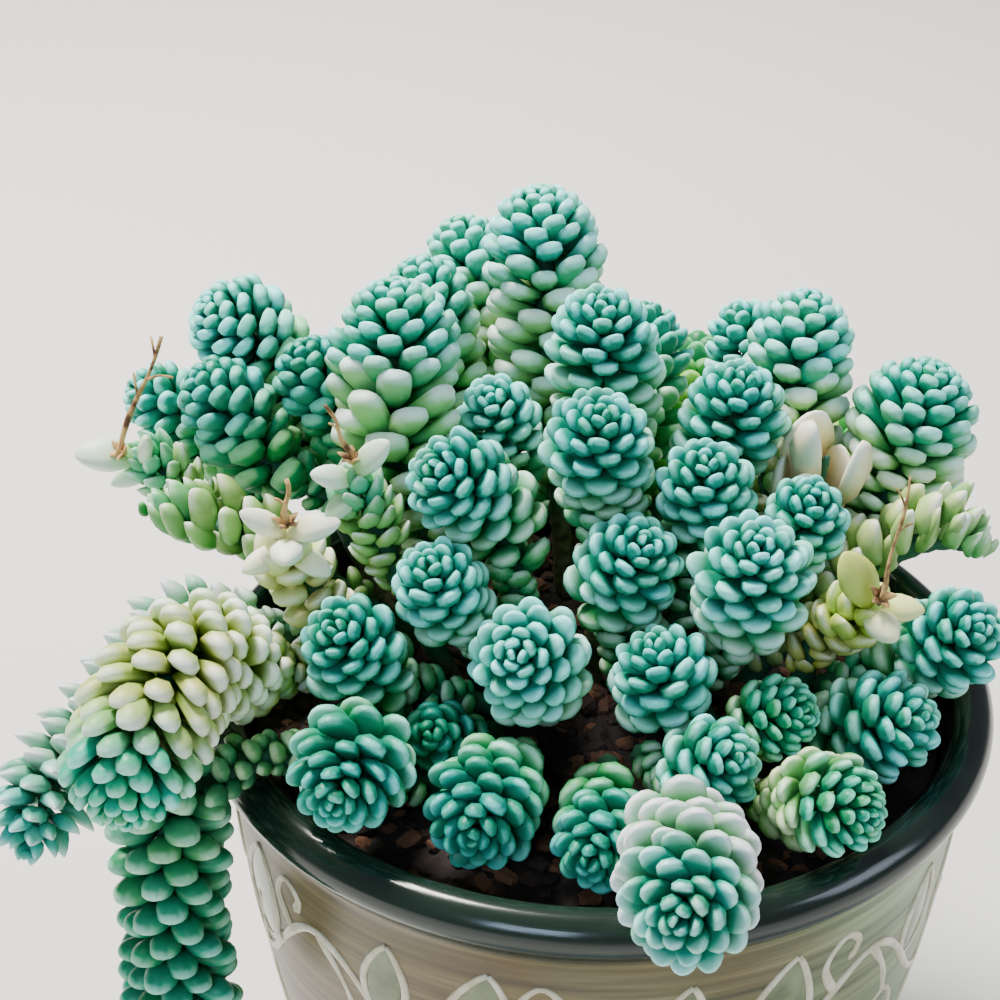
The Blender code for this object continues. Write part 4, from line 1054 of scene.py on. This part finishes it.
def placed(path, motif):
    # the motif's place round the pot, bent by a slow sine that differs, so that none is a copy
    wander = vine["wander"] * np.sin(path[:, 1] * 0.11 + 2.3 * motif)
    return path + np.stack([(motif + vine["turn"]) * motifPitch + wander, 0.5 * wander], 1)


def runningStem():
    # the vine's own stem: a sine wave all the way round, in one stretch for each motif
    end = 0.5 + vine["overlap"]
    across = np.linspace(-end, end, 44) * motifPitch
    height = vine["waveAt"] - vine["wave"] * np.sin(2 * np.pi * across / motifPitch)
    return np.stack([across, height], 1)


def slipMaterial(name, thin, thick, patchScale, roughness):
    # glaze over clay slip: deeper in colour where it ran thin, in patches of a few millimetres
    material, tree, shader = newMaterial(name, Roughness=roughness)
    place = addNode(tree, "ShaderNodeTexCoord").outputs["Object"]
    patches = addNode(tree, "ShaderNodeTexNoise", inputs={
        "Vector": place, "Scale": patchScale, "Detail": 3.0})
    ramp = addNode(tree, "ShaderNodeValToRGB", inputs={"Fac": patches.outputs["Fac"]}, stops=(
        (0.36, thin), (0.64, thick)))
    tree.links.new(ramp.outputs["Color"], shader.inputs["Base Color"])
    bump = addNode(tree, "ShaderNodeBump", inputs={
        "Strength": 0.15, "Distance": 0.0003, "Height": patches.outputs["Fac"]})
    tree.links.new(bump.outputs["Normal"], shader.inputs["Normal"])
    return material


def addVine():
    # every motif's ribs of slip, then the pools of glaze that fill its leaves
    rng = np.random.default_rng(vine["seed"])
    stem = runningStem()
    ribs, pools = [], []
    for motif in range(vine["motifs"]):
        wave = 1.15 + 0.12 * np.sin(stem[:, 0] * 0.5 + motif)
        ribs.append((vine["half"] * wave, placed(stem, motif)))
        for places in vine["lines"]:
            path = placed(flatCurve(places, vine["lineStep"]), motif)
            t = np.linspace(0, 1, len(path))
            # thinner towards the end, uneven, and with a bead where the slip trailer lifts off
            uneven = 0.2 * np.sin(t * rng.uniform(8, 12))
            bead = 0.5 * np.exp(-((t - 0.97) / 0.06)**2)
            width = 1.1 - 0.35 * t + uneven + bead
            ribs.append((vine["half"] * width * np.minimum(1, 12 * (1.03 - t)), path))
        for foot, end, size in vine["leaves"]:
            middle, half, sideways = budOutline(foot, end, size)
            pools.append((half + vine["overFill"], placed(middle, motif)))
            for edge in (middle + half[:, None] * sideways, middle - half[:, None] * sideways):
                t = np.linspace(0, 1, len(edge))
                ribs.append((vine["half"] * (0.7 + 0.3 * np.sin(np.pi * t)), placed(edge, motif)))
    slip = slipMaterial("trailedClaySlip", *vine["slip"], 260.0, 0.32)
    pool = slipMaterial("pooledGreenGlaze", *vine["pool"], 150.0, 0.14)
    for name, parts, proud, material in (("slipTrailedVine", ribs, vine["proud"], slip),
                                         ("glazePools", pools, vine["fill"], pool)):
        bodies = [slipBody(path, half, proud, vine["sunk"]) for half, path in parts]
        piece = joined(name, bodies, material)
        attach(piece, "root")


addVine()
print("vine trailed")


# Potting mix: a lumpy surface of fine compost under loose chips of bark

soil = {
    "relief": 2.4, "lumps": 0.28, "clearance": 0.4, "base": 7.4, "depths": (108.0, 85.0, 60.0, 30.0),
    "around": 96, "rings": 26, "innermost": 0.04, "tone": 0.08, "seed": 5,
    "colours": ((0.1, "#120D0A"), (0.6, "#36221A"), (0.96, "#6B452E")),
    # chips of bark: how many, their sizes, how near they lie to stalks, whose eighth points are near
    # the mix's level, their tilt and their height
    "chips": 900, "chipFrom": 1.3, "chipTo": 3.2, "chipCircle": 66.0, "chipToStalk": 3.6, "stalkPoint": 8,
    "chipTilt": 0.35, "chipProud": 0.12, "chipRings": 3, "chipAround": 6,
}


def soilHeight(x, y):
    # the model's gentle waves, and finer lumps on top of them
    wave = np.sin(0.17 * x + 1) * np.cos(0.14 * y) + np.sin(0.43 * x - 0.37 * y)
    fine = np.sin(1.9 * x + 0.7 * y) * np.sin(1.7 * y - 0.9 * x + 2)
    fine = fine + 0.6 * np.sin(3.1 * x + 1) * np.sin(2.9 * y)
    return layout["soilLevel"] - soil["relief"] * (0.5 + 0.25 * wave) + soil["lumps"] * fine


def soilSurface():
    # rings outwards over the top, down inside the wall and closed below
    reach, heights = innerWall[::-1].T
    wallRadius = np.interp(layout["soilLevel"], heights, reach) - soil["clearance"]
    radii = wallRadius * np.linspace(soil["innermost"], 1, soil["rings"])
    v = -2 * np.pi * np.arange(soil["around"]) / soil["around"]
    depths = np.array([*soil["depths"], soil["base"]])
    sides = np.interp(depths, heights, reach) - soil["clearance"]
    rings = np.concatenate([sides[::-1], radii[::-1]])
    x, y = rings[:, None] * np.cos(v), rings[:, None] * np.sin(v)
    z = soilHeight(x, y)
    z[:len(depths)] = depths[::-1, None]
    body = np.stack([x, y, z], -1)
    poles = np.array([(0, 0, soil["base"]), (0, 0, soilHeight(0.0, 0.0))])
    return np.concatenate([body.reshape(-1, 3), poles]), len(rings)


def barkChips(rng):
    # flat irregular lumps: small closed barrels, squashed and turned at random, half sunk in the mix
    count, rings, around = soil["chips"], soil["chipRings"], soil["chipAround"]
    roots = np.array([line.places[soil["stalkPoint"], :2] for line in stemLines.values()])
    spread = soil["chipCircle"] * np.sqrt(rng.uniform(0, 1, 4 * count))
    angle = rng.uniform(0, 2 * np.pi, 4 * count)
    spots = np.stack([spread * np.cos(angle), spread * np.sin(angle)], 1)
    clear = np.linalg.norm(spots[:, None] - roots[None], axis=2).min(1) > soil["chipToStalk"]
    spots = spots[clear][:count]
    count = len(spots)
    size = rng.uniform(soil["chipFrom"], soil["chipTo"], count)
    along = np.array([-0.75, 0.0, 0.75])[None, :, None] * np.ones((count, 1, around))
    girth = np.array([0.62, 0.8, 0.58])[None, :, None] * rng.uniform(0.7, 1.15, (count, rings, around))
    v = -2 * np.pi * np.arange(around) / around
    shapes = np.stack([along, girth * np.cos(v), 0.55 * girth * np.sin(v)], -1).reshape(count, -1, 3)
    caps = np.array([(-0.95, 0, 0), (0.95, 0, 0)])[None] * np.ones((count, 1, 1))
    shapes = np.concatenate([shapes, caps], 1) * size[:, None, None]
    turn = rng.uniform(0, 2 * np.pi, count)[:, None]
    tilt = rng.normal(0, soil["chipTilt"], count)[:, None]
    x = shapes[..., 0] * np.cos(tilt) - shapes[..., 2] * np.sin(tilt)
    y = shapes[..., 1]
    z = shapes[..., 0] * np.sin(tilt) + shapes[..., 2] * np.cos(tilt)
    points = np.stack([x * np.cos(turn) - y * np.sin(turn), x * np.sin(turn) + y * np.cos(turn), z], -1)
    points[..., :2] += spots[:, None]
    points[..., 2] += soilHeight(spots[:, 0], spots[:, 1])[:, None] + soil["chipProud"] * size[:, None]
    return points, rng.uniform(0, 1, count)


def soilMaterial():
    # damp compost, nearly black, and chips from black to reddish brown
    material, tree, shader = newMaterial("dampBarkCompost", Roughness=0.88)
    place = addNode(tree, "ShaderNodeTexCoord").outputs["Object"]
    tone = addNode(tree, "ShaderNodeAttribute", {"attribute_name": "tone"}).outputs["Fac"]
    grain = addNode(tree, "ShaderNodeTexNoise", inputs={"Vector": place, "Scale": 700.0, "Detail": 4.0})
    summed = addNode(tree, "ShaderNodeMath", {"operation": "MULTIPLY_ADD"}, {
        0: grain.outputs["Fac"], 1: 0.35, 2: tone})
    ramp = addNode(tree, "ShaderNodeValToRGB", inputs={"Fac": summed.outputs[0]},
                   stops=soil["colours"])
    tree.links.new(ramp.outputs["Color"], shader.inputs["Base Color"])
    bump = addNode(tree, "ShaderNodeBump", inputs={
        "Strength": 0.7, "Distance": 0.0006, "Height": grain.outputs["Fac"]})
    tree.links.new(bump.outputs["Normal"], shader.inputs["Normal"])
    return material


def addSoil():
    # the surface and every chip in one piece, with a tone for each chip
    surface, rings = soilSurface()
    quads, triangles = tubeFaces(rings, soil["around"])
    chips, tones = barkChips(np.random.default_rng(soil["seed"]))
    count, each = chips.shape[:2]
    chipQuads, chipTriangles = tubeFaces(soil["chipRings"], soil["chipAround"])
    shift = len(surface) + (np.arange(count) * each)[:, None, None]
    quads = np.concatenate([quads, (chipQuads + shift).reshape(-1, 4)])
    triangles = np.concatenate([triangles, (chipTriangles + shift).reshape(-1, 3)])
    tone = np.concatenate([np.full(len(surface), soil["tone"]), np.repeat(tones, each)])
    piece = newMesh("barkCompost", np.concatenate([surface, chips.reshape(-1, 3)]), quads, triangles,
                    [soilMaterial()], attributes={"tone": tone})
    piece.data.shade_flat()
    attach(piece, "root")
    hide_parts("soil")


addSoil()
print("soil filled")


# Dried flower stalks: thin forked twigs with a curled papery calyx at the foot

twigs = {
    # the head it grows from, length, azimuth, climb, radius at the foot, and its forks, each as its
    # share along the stalk, turn, climb and length
    "left": ("pale_left", 25, 50, 55, 0.72,
             ((0.55, 60, 60, 5.0), (0.7, -60, 10, 6.0), (0.86, 60, 50, 4.5))),
    "upper": ("pale_upper", 11, 150, 60, 0.62, ((0.6, 80, 50, 4.0),)),
    "lower": ("pale_lower", 8, 80, 70, 0.8, ((0.5, 90, 30, 2.5),)),
    "right": ("pale_right", 23, 60, 66, 0.6, ((0.8, 100, 60, 4.5), (0.62, -60, 40, 3.5))),
}

twigShape = {
    "around": 6, "seat": 0.4, "lead": 2.0, "step": 1.2, "forkStep": 0.9, "waver": 0.35, "knots": 0.18,
    "taper": 0.5, "forkBow": 0.12, "forkFoot": 0.5, "forkEnd": 0.22, "forkKnob": 1.5,
    "colours": ((0.38, "#57371A"), (0.62, "#D8AE6E")),
    # the calyx: how many dry bracts, the first one's turn, and each one's half width, half depth,
    # reach and rise at its end and at the middle of its curve
    "bracts": 5, "bractTurn": 0.3, "bractHalf": 0.85, "bractDeep": 0.22, "bractReach": 2.5,
    "bractRise": 2.3, "middleReach": 0.5, "middleRise": 1.9,
}


def twigTube(path, radius):
    # a tube along a line of places, in a frame held square to one direction
    ahead = np.gradient(path, axis=0)
    ahead /= np.linalg.norm(ahead, axis=1)[:, None]
    across = np.cross(ahead, (0.31, -0.83, 0.46))
    across /= np.linalg.norm(across, axis=1)[:, None]
    side = np.cross(ahead, across)
    around = twigShape["around"]
    v = 2 * np.pi * np.arange(around) / around
    return tubeBody(path, across, side, radius[:, None], v), tubeFaces(len(path), around)


def twigPiece(name, settings, material):
    # the stalk from just inside its head's tip, in a sine's slight bends, with forks and bracts
    stem, length, azimuth, climb, thick, forks = settings
    rng = np.random.default_rng(sum(name.encode()))
    place, _, _, way = stemLines[stem].frames(np.array([0.0, 1.5]))
    lead = way[0] / np.linalg.norm(way[0])
    start = place[0] + twigShape["seat"] * lead
    bend = start + twigShape["lead"] * lead
    main = np.array([start, bend, bend + heading(azimuth, climb) * length])
    main = curveThrough(main, twigShape["step"])
    t = np.linspace(0, 1, len(main))
    waver = twigShape["waver"] * np.sin(t * 9 + 1)[:, None] * np.array([1, 0.3, 0.2])
    main = main + waver * np.minimum(1, 4 * t)[:, None]
    knots = 1 + twigShape["knots"] * np.sin(11 * t + rng.uniform(0, 6))
    bodies = [twigTube(main, thick * (1 - twigShape["taper"] * t) * knots)]
    for share, turn, rise, reach in forks:
        root = main[int(share * (len(main) - 1))]
        end = root + heading(azimuth + turn, rise) * reach
        bow = (root + end) / 2 + np.array([0, 0, twigShape["forkBow"] * reach])
        fork = curveThrough(np.array([root, bow, end]), twigShape["forkStep"])
        taper = np.linspace(twigShape["forkFoot"], twigShape["forkEnd"], len(fork)) * thick
        taper[-2:] *= twigShape["forkKnob"]
        bodies.append(twigTube(fork, taper))
    # bracts: small dry leaves that rise along the stem's own line and curl outwards
    count = twigShape["bracts"]
    turn = 2 * np.pi * np.arange(count)[:, None] / count + twigShape["bractTurn"]
    _, across, side, _ = stemLines[stem].frames(np.array([0.0]))
    outwards = np.cos(turn) * across + np.sin(turn) * side
    sideways = np.cos(turn) * side - np.sin(turn) * across
    foot = start + twigShape["seat"] * outwards
    middle = foot + twigShape["middleReach"] * outwards + twigShape["middleRise"] * lead
    tip = foot + twigShape["bractReach"] * outwards + twigShape["bractRise"] * lead
    deep = np.full(count, twigShape["bractDeep"])
    curls, u, _, _ = leafTubes(foot, middle, tip, sideways, np.full(count, twigShape["bractHalf"]),
                               deep, deep, looks["cream"])
    for curl in curls:
        bodies.append((curl, tubeFaces(len(u), leafShape["around"])))
    piece = joined("driedStalk_" + name, bodies, material)
    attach(piece, "root")
    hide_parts("dry_stalk_" + name)


def twigMaterial():
    # golden brown and dry, with darker and paler flecks about three millimetres apart
    material, tree, shader = newMaterial("driedFlowerStalk", Roughness=0.75)
    place = addNode(tree, "ShaderNodeTexCoord").outputs["Object"]
    grain = addNode(tree, "ShaderNodeTexNoise", inputs={"Vector": place, "Scale": 330.0, "Detail": 3.0})
    ramp = addNode(tree, "ShaderNodeValToRGB", inputs={"Fac": grain.outputs["Fac"]},
                   stops=twigShape["colours"])
    tree.links.new(ramp.outputs["Color"], shader.inputs["Base Color"])
    return material


dryStalk = twigMaterial()
for name, settings in twigs.items():
    twigPiece(name, settings, dryStalk)
print("twigs placed")


# Studio: the photograph's viewing angle, a plain pale floor and soft light

studio = {
    "cameraPlace": (-19.6, -366.8, 384.2), "cameraPitch": 31.0, "lens": 79.2, "sensor": 36.0,
    "floor": "#E9E6E0", "floorSize": 6.0, "sky": "#DCE6EC", "skyStrength": 0.3,
    # each light's place, target and size in metres, its watts and its colour
    "lights": {
        "keyLight": ((-0.4, 0.5, 1.2), (0, 0, 0.14), 0.4, 47, "#FFFBF4"),
        "frontLight": ((-0.4, -1.2, 0.9), (0, 0, 0.12), 0.5, 8, "#C8E0FF"),
        "fillLight": ((1.1, -0.3, 0.8), (0, 0, 0.12), 0.6, 6, "#DCECFF"),
    },
}


def softLight(name, place, target, size, power, colour):
    # a square area light at a place, turned to face the target
    light = bpy.data.lights.new(name, "AREA")
    light.size = size
    light.energy = power
    light.color = linear(colour)[:3]
    lamp = bpy.data.objects.new(name, light)
    bpy.context.scene.collection.objects.link(lamp)
    away = np.array(place, float) - np.array(target, float)
    lamp.location = place
    lamp.rotation_euler = (math.atan2(math.hypot(away[0], away[1]), away[2]), 0,
                           math.atan2(away[0], -away[1]))


def addStudio():
    # the camera, the floor, the sky and the lights
    camera = bpy.data.cameras.new("photoCamera")
    camera.lens = studio["lens"]
    camera.sensor_width = studio["sensor"]
    camera.clip_start = 0.01
    camera.clip_end = 20.0
    eye = bpy.data.objects.new("photoCamera", camera)
    eye.location = [value * mm for value in studio["cameraPlace"]]
    eye.rotation_euler = (math.radians(90 - studio["cameraPitch"]), 0, 0)
    bpy.context.scene.collection.objects.link(eye)
    bpy.context.scene.camera = eye

    bpy.ops.mesh.primitive_plane_add(size=studio["floorSize"], location=(0, 0, 0))
    floor = bpy.context.object
    floor.name = "studioFloor"
    paper, _, shader = newMaterial("matteStudioPaper", Roughness=0.9)
    shader.inputs["Base Color"].default_value = linear(studio["floor"])
    floor.data.materials.append(paper)

    world = bpy.data.worlds.new("softStudio")
    world.use_nodes = True
    sky = world.node_tree.nodes["Background"]
    sky.inputs["Color"].default_value = linear(studio["sky"])
    sky.inputs["Strength"].default_value = studio["skyStrength"]
    bpy.context.scene.world = world
    for name, settings in studio["lights"].items():
        softLight(name, *settings)


addStudio()
print("studio ready")
